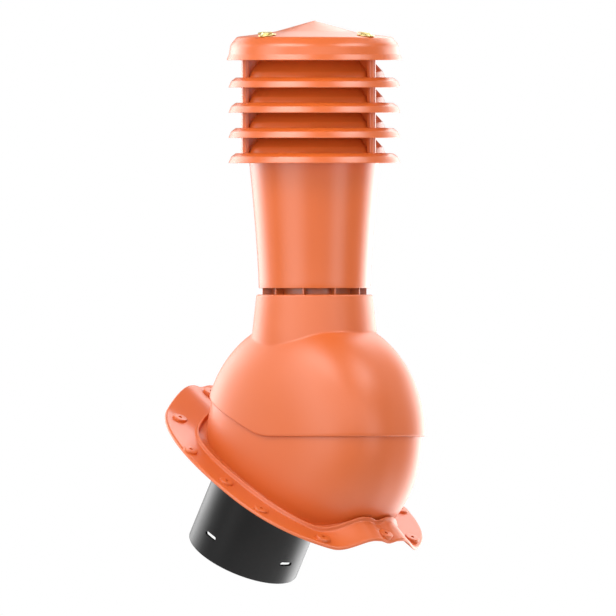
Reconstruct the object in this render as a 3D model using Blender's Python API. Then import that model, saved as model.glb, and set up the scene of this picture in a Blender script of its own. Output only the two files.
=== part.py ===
"""Roof ventilation chimney with a tilting dome, a flared stack pipe and a louvred head.

Metres, +Z up. The origin lies where the axis of the connector pipe crosses the underside of the
flange. +X points down the roof slope, level, and +Y runs across the roof. The base is modelled
square to the roof (x down the slope, y across, z square to the roof) under an empty that is
turned to the roof pitch. The stack is modelled upright round the tilt axis, under an empty that
stands on that axis.
"""

import math

import bmesh
import bpy
from mathutils import Matrix, Vector

MM = 0.001
GAP = 0.3 * MM  # clearance between pieces that touch
THROUGH = 20.0 * MM  # how far a cutting tool runs past what it cuts

# Setting of the whole part
ROOF_PITCH = math.radians(30.0)
HEAD_TURN = math.radians(5.5)  # the head is turned a little on its pipe

# Tilt axis of the dome, in the base's own frame
TILT_X = 31.0 * MM
TILT_Z = 59.6 * MM

# Dome shells: turned round the cross axis, with a rounded box section across it
LOWER_RADIUS = 128.0 * MM
LOWER_HALF_WIDTH = 82.0 * MM
DOME_WALL = 3.0 * MM
DOME_CLEARANCE = 0.6 * MM
DOME_ROUNDNESS = 2.7
DOME_STEPS = 40
DOME_PROFILE_STEPS = 12
UPPER_RADIUS = LOWER_RADIUS + DOME_CLEARANCE + DOME_WALL
UPPER_HALF_WIDTH = LOWER_HALF_WIDTH + DOME_CLEARANCE + DOME_WALL
RIM_HEIGHT = 0.5 * MM  # the rim lies this far above the tilt axis on the downslope side
RIM_RISE = math.radians(22.7)  # the upper shell's rim rises at this angle on the upslope side
RIM_BEND = 80.0 * MM  # radius of the bend in that rim
MOUTH_DOWNSLOPE = math.radians(62.0)  # edges of the lower shell's mouth, from the slope
MOUTH_UPSLOPE = math.radians(162.0)

# Flange
FLANGE_STEPS = 60
FLANGE_CENTRE = 55.0 * MM
FLANGE_DOWNSLOPE = 133.0 * MM
FLANGE_UPSLOPE = 203.0 * MM
FLANGE_HALF_WIDTH = 123.0 * MM
FLANGE_ROUNDNESS = 2.2
PLATE = 3.6 * MM
EDGE_ROUND = 1.2 * MM  # rounding of the flange's upper edge
WAVE_SHARE = 0.35  # how far the wave has changed at the flange's inner ring
EDGE_STRIP = 14.0 * MM  # from the flange's edge to that ring
WAVE_HALF_WIDTH = 65.0 * MM
WAVE_FLAT = 22.0 * MM  # half width of the wave's top
WAVE_EDGE_HEIGHT = 19.0 * MM
WAVE_DOWNSLOPE_HEIGHT = 25.0 * MM  # the wave's height at the bead, down the slope
WAVE_UPSLOPE_HEIGHT = 15.0 * MM
WAVE_DIP = 0.14  # share of its height that the wave drops between its two crests
WAVE_DIP_HALF_WIDTH = 13.0 * MM

# Bead round the foot of the dome
BEAD_REACH = 129.0 * MM
BEAD_HALF_WIDTH = 90.0 * MM
BEAD_ROUNDNESS = 2.5
BEAD_HEIGHT = 4.5 * MM
BEAD_WIDTH = 3.0 * MM
BEAD_DRAFT = 0.7 * MM  # slope of the bead's outer side
GUTTER_REACH = 9.0 * MM  # where the gutter behind the bead ends, inside the dome's wall
GUTTER_RISE = 2.5 * MM
ROOT_REACH = 24.0 * MM  # the slab runs on to here under the dome
ROOT_RISE = 10.0 * MM

# Screw bosses, as (down the slope, across), mirrored where they lie off the middle
BOSS_PLACES = ((-134, 0), (-105, 61), (-36, 104), (32, 108), (92, 107), (156, 68), (178, 0))
BOSS_RADIUS = 8.0 * MM
BOSS_HEIGHT = 3.0 * MM
BOSS_SINK = 0.8 * MM  # how far the bosses stand clear of the plate's underside
BOSS_HOLE_RADIUS = 2.2 * MM
BOSS_STEPS = 12

# Floor of the base and the connector pipe in it
FLOOR_LOW = 1.0 * MM
FLOOR_TOP = 4.0 * MM
PIPE_RADIUS = 62.5 * MM
PIPE_WALL = 3.2 * MM
PIPE_REACH = 106.5 * MM
PIPE_STEPS = 40
PIPE_RIM_RADIUS = 69.0 * MM
PIPE_RIM_HEIGHT = 3.0 * MM
PIPE_CHAMFER = 1.0 * MM
SLOT_COUNT = 4
SLOT_FROM_END = 25.0 * MM
SLOT_LENGTH = 17.0 * MM
SLOT_HEIGHT = 4.2 * MM

# Upright stack, heights from the tilt axis
COLLAR_TOP = 154.3 * MM
COLLAR_TOP_RADIUS = 63.0 * MM
COLLAR_FOOT = 110.0 * MM
COLLAR_FOOT_RADIUS = 67.9 * MM
COLLAR_WALL = 3.0 * MM
COLLAR_ROOT = 86.0 * MM
COLLAR_ROOT_TAPER = 1.0 * MM
COLLAR_BORE_TAPER = 0.8 * MM
COLLAR_CREST = ((0.0, 4.0), (0.6, 1.2), (2.2, 0.0))  # (inset, drop) points of its top edge, in mm
BORE_ROOT_DROP = 30.0 * MM
BORE_TOP_RISE = 10.0 * MM
SLEEVE_RADIUS = 45.5 * MM
SLEEVE_WALL = 3.0 * MM
SLEEVE_LOW = 118.0 * MM
SLEEVE_TOP = 190.0 * MM
RIB_COUNT = 10
RIB_REACH = 56.6 * MM  # inside the stack pipe
RIB_FOOT_REACH = 59.3 * MM  # inside the collar
RIB_SPLIT = 151.0 * MM
RIB_WIDTH = 2.2 * MM
RIB_PHASE = 0.25  # share of the ribs' spacing that they are turned from the posts
RIB_ROOT = 1.5 * MM  # how far the ribs' roots reach into the sleeve's wall
RIB_END = 4.0 * MM  # from the sleeve's ends to the ribs
RIB_STEP = 1.0 * MM  # half the gap between the two rows of ribs
STACK_LOW = 161.1 * MM
STACK_LOW_RADIUS = 60.4 * MM
STACK_TOP = 303.0 * MM
STACK_TOP_RADIUS = 71.3 * MM
STACK_FLARE = 1.35
STACK_WALL = 3.0 * MM
STACK_PROFILE_STEPS = 4
HEAD_STEPS = 32

# Louvre rings
RING_COUNT = 4
RING_PITCH = 27.3 * MM
LOWEST_RING = 296.6 * MM
RING_RADIUS = 93.0 * MM
RING_BAND = 10.8 * MM
RING_SHOULDER = 5.0 * MM
RING_NECK_RADIUS = 75.6 * MM
RING_NECK_HEIGHT = 6.2 * MM  # the short upright wall between the shelf and the cone
RING_MOUTH_RADIUS = 57.0 * MM
RING_MOUTH_HEIGHT = 35.8 * MM
RING_WALL = 2.5 * MM
POST_COUNT = 3
POST_RADIUS = 80.4 * MM
POST_WIDTH = 11.5 * MM
POST_DEPTH = 5.8 * MM
WEB_WIDTH = 2.4 * MM
WEB_INNER = 63.0 * MM
WEB_DROP = 1.2 * MM  # how far the web's slant lies inside the cone's wall
WEB_ROOT = 0.8 * MM
WEB_TOP = 0.4 * MM  # the web ends this far below the post
POST_ROOT = 0.6 * MM
RING_CROWN = 0.3  # share of the shoulder at its middle point
RING_DRAFT = 2.6 * MM  # how far the skirt leans in
RING_UNDER_INSET = 1.1 * MM

# Cap
CAP_LIP = 408.1 * MM
CAP_LIP_RADIUS = 95.0 * MM
CAP_SKIRT_RADIUS = 91.6 * MM
CAP_SKIRT = 12.0 * MM
CAP_SHOULDER_RADIUS = 80.0 * MM
CAP_SHOULDER_HEIGHT = 433.8 * MM
CAP_POINT_RADII = (42.0 * MM, 55.0 * MM)  # where the point runs out into the sloping ring
CAP_POINT_HEIGHTS = (439.2 * MM, 437.1 * MM)
CAP_APEX = 451.0 * MM
CAP_WALL = 2.8 * MM
CAP_CEILING_DROP = 1.6 * MM
CAP_FLARE = (1.2 * MM, 4.5 * MM)  # where the skirt begins to flare: its width and its height
CAP_LIP_BAND = 2.5 * MM
CAP_SHOULDER_STEPS = 4
CAP_INSIDE_LIP = 6.0 * MM
CAP_CROWN = 4.6 * MM
CAP_APEX_THICKNESS = 2.0 * MM

# Cap screws
SCREW_COUNT = 4
SCREW_CIRCLE = 75.5 * MM
SCREW_LEAN = math.radians(7.5)  # the screws stand square to the cap's sloping ring
WASHER_RADIUS = 9.6 * MM
WASHER_HEIGHT = 1.2 * MM
HEX_RADIUS = 6.0 * MM
HEX_HEIGHT = 3.6 * MM
SHANK_RADIUS = 2.2 * MM
SHANK_LENGTH = 4.6 * MM
SCREW_TURN = math.radians(2.3)
SHANK_POINT = 1.5 * MM
WASHER_CHAMFER = (1.0 * MM, 0.56 * MM)  # its width and its height
HEX_TAPER = 0.94
HEX_ROOT = 0.4 * MM

BRICK = (0.78, 0.24, 0.09, 1.0)
BLACK = (0.02, 0.02, 0.022, 1.0)
ZINC = (0.85, 0.68, 0.25, 1.0)


def material(name, colour, roughness, metallic=0.0):
    """A plain Principled material."""
    found = bpy.data.materials.new(name)
    found.use_nodes = True
    shader = found.node_tree.nodes["Principled BSDF"]
    shader.inputs["Base Color"].default_value = colour
    shader.inputs["Roughness"].default_value = roughness
    shader.inputs["Metallic"].default_value = metallic
    return found


def new_object(name, bm, finish, parent):
    """Closes the bmesh into a smooth-shaded object."""
    bmesh.ops.remove_doubles(bm, verts=bm.verts, dist=1e-6)
    bmesh.ops.recalc_face_normals(bm, faces=bm.faces)
    mesh = bpy.data.meshes.new(name)
    bm.to_mesh(mesh)
    bm.free()
    mesh.shade_smooth()
    mesh.set_sharp_from_angle(angle=math.radians(35))
    made = bpy.data.objects.new(name, mesh)
    bpy.context.scene.collection.objects.link(made)
    made.parent = parent
    if finish:
        mesh.materials.append(finish)
    return made


def as_tool(tool):
    """Hides an object that only shapes another one."""
    tool.hide_render = True
    tool.display_type = "WIRE"
    return tool


def combine(target, tool, operation):
    """Adds an exact Boolean with one tool."""
    step = target.modifiers.new(operation.lower() + "_" + tool.name, "BOOLEAN")
    step.object = as_tool(tool)
    step.operation = operation
    step.solver = "EXACT"
    return step


def spin_profile(bm, points, steps, axis, centre=(0.0, 0.0, 0.0), closed=True):
    """Turns a profile of 3-D points once round an axis."""
    verts = [bm.verts.new(point) for point in points]
    pairs = list(zip(verts, verts[1:]))
    if closed:
        pairs.append((verts[-1], verts[0]))
    edges = [bm.edges.new(pair) for pair in pairs]
    bmesh.ops.spin(
        bm, geom=verts + edges, cent=centre, axis=axis, dvec=(0, 0, 0),
        angle=2 * math.pi, steps=steps, use_merge=True, use_duplicate=False,
    )


def turned(name, profile, steps, finish, parent, closed=True):
    """A solid turned round the upright axis from (radius, height) points."""
    bm = bmesh.new()
    spin_profile(bm, [(radius, 0.0, height) for radius, height in profile], steps, (0, 0, 1), closed=closed)
    return new_object(name, bm, finish, parent)


def box(bm, low, high, turn=0.0):
    """A box between two corners, turned about the upright axis."""
    size = Vector(high) - Vector(low)
    middle = (Vector(high) + Vector(low)) / 2
    place = Matrix.Rotation(turn, 4, "Z") @ Matrix.Translation(middle) @ Matrix.Diagonal((*size, 1.0))
    bmesh.ops.create_cube(bm, size=1.0, matrix=place)


def rounded_power(angle, half_length, half_width, roundness):
    """A point on a rounded oval, from its angle round the middle."""
    cosine, sine = math.cos(angle), math.sin(angle)
    along = math.copysign(abs(cosine) ** (2 / roundness), cosine) * half_length
    across = math.copysign(abs(sine) ** (2 / roundness), sine) * half_width
    return along, across


def smooth_step(value):
    """Rises smoothly from 0 to 1 as value does."""
    value = min(max(value, 0.0), 1.0)
    return value * value * (3 - 2 * value)


def wave(across, height):
    """Height of the double wave that runs down the middle of the flange."""
    side = abs(across)
    rise = smooth_step((WAVE_HALF_WIDTH - side) / (WAVE_HALF_WIDTH - WAVE_FLAT))
    dip = WAVE_DIP * (1 - smooth_step(side / WAVE_DIP_HALF_WIDTH))
    return height * (rise - dip)


def dome_profile(radius, half_width):
    """Half section of a dome drum, as (across, radius) points from one end to the other."""
    points = []
    for step in range(DOME_PROFILE_STEPS + 1):
        angle = math.pi * step / DOME_PROFILE_STEPS
        across, reach = rounded_power(angle, half_width, radius, DOME_ROUNDNESS)
        points.append((across, abs(reach) if 0 < step < DOME_PROFILE_STEPS else 0.0))
    return points


def dome_drum(name, radius, half_width, centre, parent, floor=None):
    """A drum turned round the cross axis, cut off level at a floor height where one is given."""
    bm = bmesh.new()
    points = [(centre[0], across, centre[2] + reach) for across, reach in dome_profile(radius, half_width)]
    spin_profile(bm, points, DOME_STEPS, (0, 1, 0), centre=centre, closed=False)
    bmesh.ops.remove_doubles(bm, verts=bm.verts, dist=1e-6)
    if floor is not None:
        geometry = bm.verts[:] + bm.edges[:] + bm.faces[:]
        cut = bmesh.ops.bisect_plane(
            bm, geom=geometry, plane_co=(0, 0, floor), plane_no=(0, 0, 1), clear_inner=True
        )
        rim = [item for item in cut["geom_cut"] if isinstance(item, bmesh.types.BMEdge)]
        bmesh.ops.contextual_create(bm, geom=rim)
    return new_object(name, bm, None, parent)


def prism(name, outline, half_width, parent):
    """An outline of (x, z) points drawn out along the cross axis."""
    bm = bmesh.new()
    base = [bm.verts.new((x, -half_width, z)) for x, z in outline]
    face = bm.faces.new(base)
    grown = bmesh.ops.extrude_face_region(bm, geom=[face])
    moved = [item for item in grown["geom"] if isinstance(item, bmesh.types.BMVert)]
    bmesh.ops.translate(bm, verts=moved, vec=(0, 2 * half_width, 0))
    return new_object(name, bm, None, parent)


def flange_point(angle, inset=0.0):
    """A point of the flange's outline: an egg, longer up the slope."""
    reach = FLANGE_DOWNSLOPE if math.cos(angle) > 0 else FLANGE_UPSLOPE
    along, across = rounded_power(angle, reach - inset, FLANGE_HALF_WIDTH - inset, FLANGE_ROUNDNESS)
    return FLANGE_CENTRE + along, across


def bead_point(angle, inset=0.0):
    """A point of the bead's outline, an oval round the tilt axis."""
    along, across = rounded_power(angle, BEAD_REACH - inset, BEAD_HALF_WIDTH - inset, BEAD_ROUNDNESS)
    return TILT_X + along, across


def flange_height(angle, across, nearness):
    """Height of the plate's underside, from how near it is to the bead (0 at the edge)."""
    inner = WAVE_DOWNSLOPE_HEIGHT if math.cos(angle) > 0 else WAVE_UPSLOPE_HEIGHT
    return wave(across, WAVE_EDGE_HEIGHT + (inner - WAVE_EDGE_HEIGHT) * nearness)


def flange_rings():
    """The rings of the flange slab, from the middle of its top over its edge to the middle below."""
    def ring(outline, inset, nearness, raised):
        points = []
        for step in range(FLANGE_STEPS):
            angle = 2 * math.pi * step / FLANGE_STEPS
            x, y = outline(angle, inset)
            points.append((x, y, flange_height(angle, y, nearness) + raised))
        return points

    bead_top = PLATE + BEAD_HEIGHT
    return [
        ring(bead_point, ROOT_REACH, 1.0, PLATE + ROOT_RISE),
        ring(bead_point, GUTTER_REACH, 1.0, bead_top + GUTTER_RISE),
        ring(bead_point, BEAD_WIDTH, 1.0, bead_top),
        ring(bead_point, BEAD_DRAFT, 1.0, bead_top),
        ring(bead_point, -BEAD_DRAFT, 1.0, PLATE),
        ring(flange_point, EDGE_STRIP, WAVE_SHARE, PLATE),
        ring(flange_point, EDGE_ROUND, 0.0, PLATE),
        ring(flange_point, 0.0, 0.0, PLATE - EDGE_ROUND),
        ring(flange_point, 0.0, 0.0, 0.0),
        ring(flange_point, EDGE_STRIP, WAVE_SHARE, 0.0),
        ring(bead_point, 0.0, 1.0, 0.0),
        ring(bead_point, ROOT_REACH, 1.0, 0.0),
    ]


def flange_slab(finish, parent):
    """The flange with its wave and bead, as one closed slab."""
    bm = bmesh.new()
    rows = [[bm.verts.new(point) for point in points] for points in flange_rings()]
    for row, following in zip(rows, rows[1:]):
        for step in range(FLANGE_STEPS):
            after = (step + 1) % FLANGE_STEPS
            bm.faces.new((row[step], row[after], following[after], following[step]))
    for row in (rows[0], rows[-1]):
        for step in range(FLANGE_STEPS // 2):
            after = step + 1
            across = (row[step], row[after], row[-after], row[-step] if step else row[0])
            unique = [vert for place, vert in enumerate(across) if vert not in across[:place]]
            bm.faces.new(unique)
    return new_object("base_plate", bm, finish, parent)


def boss_sites():
    """Every screw boss as (x, y, height of the plate's underside)."""
    for along, across in BOSS_PLACES:
        for side in ((1,) if across == 0 else (1, -1)):
            x, y = along * MM, across * side * MM
            yield x, y, wave(y, WAVE_EDGE_HEIGHT)


def add_bosses(base, parent):
    """Joins the screw bosses to the flange and bores their holes."""
    posts, holes = bmesh.new(), bmesh.new()
    for x, y, height in boss_sites():
        low, high = height + BOSS_SINK, height + PLATE + BOSS_HEIGHT
        for bm, radius, start, end in (
            (posts, BOSS_RADIUS, low, high),
            (holes, BOSS_HOLE_RADIUS, low - THROUGH, high + THROUGH),
        ):
            bmesh.ops.create_cone(
                bm, cap_ends=True, segments=BOSS_STEPS, radius1=radius, radius2=radius,
                depth=end - start, matrix=Matrix.Translation((x, y, (start + end) / 2)),
            )
    combine(base, new_object("boss_tool", posts, None, parent), "UNION")
    combine(base, new_object("boss_hole_tool", holes, None, parent), "DIFFERENCE")


def base_plate(finish, parent):
    """Flange, bead, bosses and lower dome shell as one moulding."""
    centre = (TILT_X, 0.0, TILT_Z)
    base = flange_slab(finish, parent)
    outer = dome_drum("lower_drum_tool", LOWER_RADIUS, LOWER_HALF_WIDTH, centre, parent, FLOOR_LOW)
    inner = dome_drum(
        "lower_hollow_tool", LOWER_RADIUS - DOME_WALL, LOWER_HALF_WIDTH - DOME_WALL, centre, parent, FLOOR_TOP
    )
    far = 2 * LOWER_RADIUS
    middle = (MOUTH_DOWNSLOPE + MOUTH_UPSLOPE) / 2
    corners = [(TILT_X, TILT_Z)]
    for angle in (MOUTH_DOWNSLOPE, middle, MOUTH_UPSLOPE):
        corners.append((TILT_X + far * math.cos(angle), TILT_Z + far * math.sin(angle)))
    mouth = prism("mouth_tool", corners, LOWER_RADIUS, parent)
    hole = turned_cylinder("pipe_hole_tool", PIPE_RADIUS + GAP, -THROUGH, THROUGH, PIPE_STEPS, parent)
    combine(base, outer, "UNION")
    combine(base, inner, "DIFFERENCE")
    combine(base, mouth, "DIFFERENCE")
    combine(base, hole, "DIFFERENCE")
    add_bosses(base, parent)
    return base


def turned_cylinder(name, radius, low, high, steps, parent):
    """A plain cylinder on the upright axis, used as a tool."""
    bm = bmesh.new()
    bmesh.ops.create_cone(
        bm, cap_ends=True, segments=steps, radius1=radius, radius2=radius, depth=high - low,
        matrix=Matrix.Translation((0, 0, (low + high) / 2)),
    )
    return new_object(name, bm, None, parent)


def connector_pipe(finish, parent):
    """Plain pipe square to the roof, hung in the floor by its rim, with four slots near its end."""
    inner = PIPE_RADIUS - PIPE_WALL
    seat = FLOOR_TOP + GAP
    profile = [
        (inner, -PIPE_REACH),
        (PIPE_RADIUS - PIPE_CHAMFER, -PIPE_REACH),
        (PIPE_RADIUS, -PIPE_REACH + PIPE_CHAMFER),
        (PIPE_RADIUS, seat),
        (PIPE_RIM_RADIUS, seat),
        (PIPE_RIM_RADIUS, seat + PIPE_RIM_HEIGHT),
        (inner, seat + PIPE_RIM_HEIGHT),
    ]
    pipe = turned("connector_pipe", profile, PIPE_STEPS, finish, parent)
    bm = bmesh.new()
    middle = -PIPE_REACH + SLOT_FROM_END
    for slot in range(SLOT_COUNT):
        box(
            bm,
            (inner - SLOT_LENGTH / 2, -SLOT_LENGTH / 2, middle - SLOT_HEIGHT / 2),
            (PIPE_RADIUS + SLOT_LENGTH / 2, SLOT_LENGTH / 2, middle + SLOT_HEIGHT / 2),
            2 * math.pi * slot / SLOT_COUNT,
        )
    combine(pipe, new_object("slot_tool", bm, None, parent), "DIFFERENCE")
    return pipe


def rim_outline():
    """Outline of all that lies below the upper shell's rim, as (x, z) points round the tilt axis."""
    far = 3 * UPPER_RADIUS
    tangent = RIM_BEND * math.tan(RIM_RISE / 2)
    points = [(far, -far), (far, RIM_HEIGHT)]
    steps = 6
    for step in range(steps + 1):
        angle = -math.pi / 2 - RIM_RISE * step / steps
        rise = RIM_BEND * (1 + math.sin(angle))
        points.append((tangent + RIM_BEND * math.cos(angle), RIM_HEIGHT + rise))
    points.append((-far, RIM_HEIGHT + far * math.tan(RIM_RISE)))
    points.append((-far, -far))
    return points


def dome_shell(finish, parent):
    """Upper shell of the dome with its collar."""
    centre = (0.0, 0.0, 0.0)
    shell = dome_drum("dome_shell", UPPER_RADIUS, UPPER_HALF_WIDTH, centre, parent)
    shell.data.materials.append(finish)
    slope = (COLLAR_FOOT_RADIUS - COLLAR_TOP_RADIUS) / (COLLAR_TOP - COLLAR_FOOT)
    root_radius = COLLAR_FOOT_RADIUS - COLLAR_ROOT_TAPER
    profile = [(0.0, COLLAR_ROOT), (root_radius, COLLAR_ROOT), (COLLAR_FOOT_RADIUS, COLLAR_FOOT)]
    for inset, drop in COLLAR_CREST:
        widening = 0.0 if inset else drop * MM * slope
        profile.append((COLLAR_TOP_RADIUS - inset * MM + widening, COLLAR_TOP - drop * MM))
    profile.append((0.0, COLLAR_TOP))
    collar = turned("collar_tool", profile, PIPE_STEPS, None, parent, closed=False)
    hollow = dome_drum(
        "upper_hollow_tool", UPPER_RADIUS - DOME_WALL, UPPER_HALF_WIDTH - DOME_WALL, centre, parent
    )
    bore = turned(
        "collar_bore_tool",
        [
            (0.0, COLLAR_ROOT - BORE_ROOT_DROP),
            (root_radius - COLLAR_WALL, COLLAR_ROOT - BORE_ROOT_DROP),
            (COLLAR_FOOT_RADIUS - COLLAR_WALL, COLLAR_FOOT),
            (COLLAR_TOP_RADIUS - COLLAR_WALL - COLLAR_BORE_TAPER, COLLAR_TOP + BORE_TOP_RISE),
            (0.0, COLLAR_TOP + BORE_TOP_RISE),
        ],
        PIPE_STEPS, None, parent, closed=False,
    )
    below = prism("rim_tool", rim_outline(), UPPER_RADIUS, parent)
    combine(shell, collar, "UNION")
    combine(shell, hollow, "DIFFERENCE")
    combine(shell, bore, "DIFFERENCE")
    combine(shell, below, "DIFFERENCE")
    return shell


def neck_sleeve(finish, parent):
    """Narrow sleeve with upright ribs that joins the collar and the stack pipe."""
    inner = SLEEVE_RADIUS - SLEEVE_WALL
    profile = [
        (inner, SLEEVE_LOW),
        (SLEEVE_RADIUS, SLEEVE_LOW),
        (SLEEVE_RADIUS, SLEEVE_TOP),
        (inner, SLEEVE_TOP),
    ]
    sleeve = turned("neck_sleeve", profile, HEAD_STEPS, finish, parent)
    bm = bmesh.new()
    spans = (
        (SLEEVE_LOW + RIB_END, RIB_SPLIT - RIB_STEP, RIB_FOOT_REACH),
        (RIB_SPLIT + RIB_STEP, SLEEVE_TOP - RIB_END, RIB_REACH),
    )
    for rib in range(RIB_COUNT):
        turn = HEAD_TURN + 2 * math.pi * (rib + RIB_PHASE) / RIB_COUNT
        for low, high, reach in spans:
            box(bm, (SLEEVE_RADIUS - RIB_ROOT, -RIB_WIDTH / 2, low), (reach, RIB_WIDTH / 2, high), turn)
    combine(sleeve, new_object("rib_tool", bm, None, parent), "UNION")
    return sleeve


def stack_radius(height):
    """Outer radius of the flared stack pipe at a height."""
    share = (height - STACK_LOW) / (STACK_TOP - STACK_LOW)
    return STACK_LOW_RADIUS + (STACK_TOP_RADIUS - STACK_LOW_RADIUS) * share**STACK_FLARE


def stack_pipe(finish, parent):
    """Flared pipe between the collar and the louvre rings."""
    steps = STACK_PROFILE_STEPS
    heights = [STACK_LOW + (STACK_TOP - STACK_LOW) * step / steps for step in range(steps + 1)]
    outside = [(stack_radius(height), height) for height in heights]
    inside = [(stack_radius(height) - STACK_WALL, height) for height in reversed(heights)]
    return turned("stack_pipe", outside + inside, HEAD_STEPS, finish, parent)


def ring_profile():
    """Section of one louvre ring, from the skirt's foot up its outside and back along its inside."""
    shelf = RING_BAND
    shoulder = RING_RADIUS - RING_SHOULDER
    neck = shelf + RING_NECK_HEIGHT
    slant = Vector((RING_NECK_RADIUS - RING_MOUTH_RADIUS, RING_MOUTH_HEIGHT - neck)).normalized()
    across = RING_WALL / slant.y
    under = shelf - RING_WALL
    outside = [
        (RING_RADIUS, 0.0),
        (RING_RADIUS - RING_DRAFT, shelf - RING_SHOULDER),
        (RING_RADIUS - RING_CROWN * RING_SHOULDER - RING_DRAFT, shelf - RING_CROWN * RING_SHOULDER),
        (shoulder, shelf),
        (RING_NECK_RADIUS, shelf),
        (RING_NECK_RADIUS, neck),
        (RING_MOUTH_RADIUS, RING_MOUTH_HEIGHT),
    ]
    inside = [
        (RING_MOUTH_RADIUS - across, RING_MOUTH_HEIGHT),
        (RING_NECK_RADIUS - RING_WALL, neck - across + RING_WALL),
        (RING_NECK_RADIUS - RING_WALL, under),
        (shoulder - RING_UNDER_INSET, under),
        (RING_RADIUS - RING_WALL, 0.0),
    ]
    return outside + inside


def web_outline(bottom, post_top):
    """Outline of a post's web, as (radius, height) points; its slant lies inside the cone's wall."""
    neck = bottom + RING_BAND + RING_NECK_HEIGHT
    root = RING_NECK_RADIUS - WEB_DROP
    low, high = bottom + RING_BAND - WEB_ROOT, post_top - GAP - WEB_TOP
    return [
        (root, low),
        (POST_RADIUS, low),
        (POST_RADIUS, high),
        (WEB_INNER, high),
        (WEB_INNER, neck + RING_NECK_RADIUS - WEB_INNER - WEB_DROP),
        (root, neck - WEB_DROP),
    ]


def louvre_ring(number, post_top, finish, parent):
    """One louvre ring with its three posts, which reach up to the piece above."""
    bottom = LOWEST_RING + (RING_COUNT - number) * RING_PITCH
    profile = [(radius, bottom + height) for radius, height in ring_profile()]
    name = f"louvre_ring_{number}"
    ring = turned(name, profile, HEAD_STEPS, finish, parent)
    posts = bmesh.new()
    for post in range(POST_COUNT):
        box(
            posts,
            (POST_RADIUS - POST_DEPTH / 2, -POST_WIDTH / 2, bottom + RING_BAND - POST_ROOT),
            (POST_RADIUS + POST_DEPTH / 2, POST_WIDTH / 2, post_top - GAP),
            post_angle(post),
        )
    combine(ring, new_object(name + "_post_tool", posts, None, parent), "UNION")
    for post in range(POST_COUNT):
        web = prism(f"{name}_web_tool_{post}", web_outline(bottom, post_top), WEB_WIDTH / 2, parent)
        web.rotation_euler = (0, 0, post_angle(post))
        combine(ring, web, "UNION")
    return ring


def post_angle(post):
    """Direction of one post of the head."""
    return HEAD_TURN + 2 * math.pi * post / POST_COUNT


def cap_outside():
    """Outside of the cap from its apex to its lip, as (radius, height) points."""
    points = [(0.0, CAP_APEX), *zip(CAP_POINT_RADII, CAP_POINT_HEIGHTS)]
    reach = CAP_SKIRT_RADIUS - CAP_SHOULDER_RADIUS
    drop = CAP_SHOULDER_HEIGHT - CAP_LIP - CAP_SKIRT
    for step in range(CAP_SHOULDER_STEPS + 1):
        angle = math.pi / 2 * (1 - step / CAP_SHOULDER_STEPS)
        points.append(
            (
                CAP_SHOULDER_RADIUS + reach * math.cos(angle),
                CAP_SHOULDER_HEIGHT - drop + drop * math.sin(angle),
            )
        )
    points.append((CAP_SKIRT_RADIUS + CAP_FLARE[0], CAP_LIP + CAP_FLARE[1]))
    points.append((CAP_LIP_RADIUS, CAP_LIP + CAP_LIP_BAND))
    points.append((CAP_LIP_RADIUS, CAP_LIP))
    return points


def cap_inside():
    """Inside of the cap from its lip to its middle."""
    return [
        (CAP_LIP_RADIUS - CAP_WALL, CAP_LIP),
        (CAP_SKIRT_RADIUS - CAP_WALL, CAP_LIP + CAP_INSIDE_LIP),
        (CAP_SKIRT_RADIUS - CAP_WALL, CAP_LIP + CAP_SKIRT),
        (CAP_SHOULDER_RADIUS + CAP_CROWN, cap_ceiling()),
        (CAP_POINT_RADII[1], cap_ceiling()),
        (0.0, CAP_APEX - CAP_WALL - CAP_APEX_THICKNESS),
    ]


def cap_ceiling():
    """Height of the flat ring inside the cap that the topmost posts carry."""
    return CAP_SHOULDER_HEIGHT - CAP_WALL - CAP_CEILING_DROP


def screw_places():
    """Where each cap screw stands, square to the cap's sloping ring."""
    slope = (CAP_POINT_HEIGHTS[1] - CAP_SHOULDER_HEIGHT) / (CAP_SHOULDER_RADIUS - CAP_POINT_RADII[1])
    seat = CAP_SHOULDER_HEIGHT + slope * (CAP_SHOULDER_RADIUS - SCREW_CIRCLE)
    places = []
    for screw in range(SCREW_COUNT):
        turn = Matrix.Rotation(SCREW_TURN + 2 * math.pi * screw / SCREW_COUNT, 4, "Z")
        stand = Matrix.Translation((SCREW_CIRCLE, 0, seat + GAP))
        places.append(turn @ stand @ Matrix.Rotation(SCREW_LEAN, 4, "Y"))
    return places


def cap(finish, parent):
    """Rain cap: a low point, a nearly flat ring, a round shoulder and a skirt with a lip."""
    body = turned("cap", cap_outside() + cap_inside(), HEAD_STEPS, finish, parent, closed=False)
    bm = bmesh.new()
    for place in screw_places():
        bmesh.ops.create_cone(
            bm, cap_ends=True, segments=10, radius1=SHANK_RADIUS + GAP, radius2=SHANK_RADIUS + GAP,
            depth=THROUGH, matrix=place,
        )
    combine(body, new_object("cap_hole_tool", bm, None, parent), "DIFFERENCE")
    return body


def cap_screw(number, place, finish, parent):
    """Hexagon screw with a wide washer."""
    profile = [
        (0.0, -SHANK_LENGTH),
        (SHANK_RADIUS, -SHANK_LENGTH + SHANK_POINT),
        (SHANK_RADIUS, 0.0),
        (WASHER_RADIUS, 0.0),
        (WASHER_RADIUS, WASHER_HEIGHT - WASHER_CHAMFER[1]),
        (WASHER_RADIUS - WASHER_CHAMFER[0], WASHER_HEIGHT),
        (0.0, WASHER_HEIGHT),
    ]
    screw = turned(f"cap_screw_{number}", profile, 12, finish, parent, closed=False)
    bm = bmesh.new()
    bmesh.ops.create_cone(
        bm, cap_ends=True, segments=6, radius1=HEX_RADIUS, radius2=HEX_RADIUS * HEX_TAPER,
        depth=HEX_HEIGHT - HEX_ROOT, matrix=Matrix.Translation((0, 0, (HEX_HEIGHT + HEX_ROOT) / 2)),
    )
    head = new_object(f"hex_tool_{number}", bm, None, parent)
    for piece in (screw, head):
        piece.location = place.translation
        piece.rotation_euler = place.to_euler()
    combine(screw, head, "UNION")
    return screw


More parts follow.
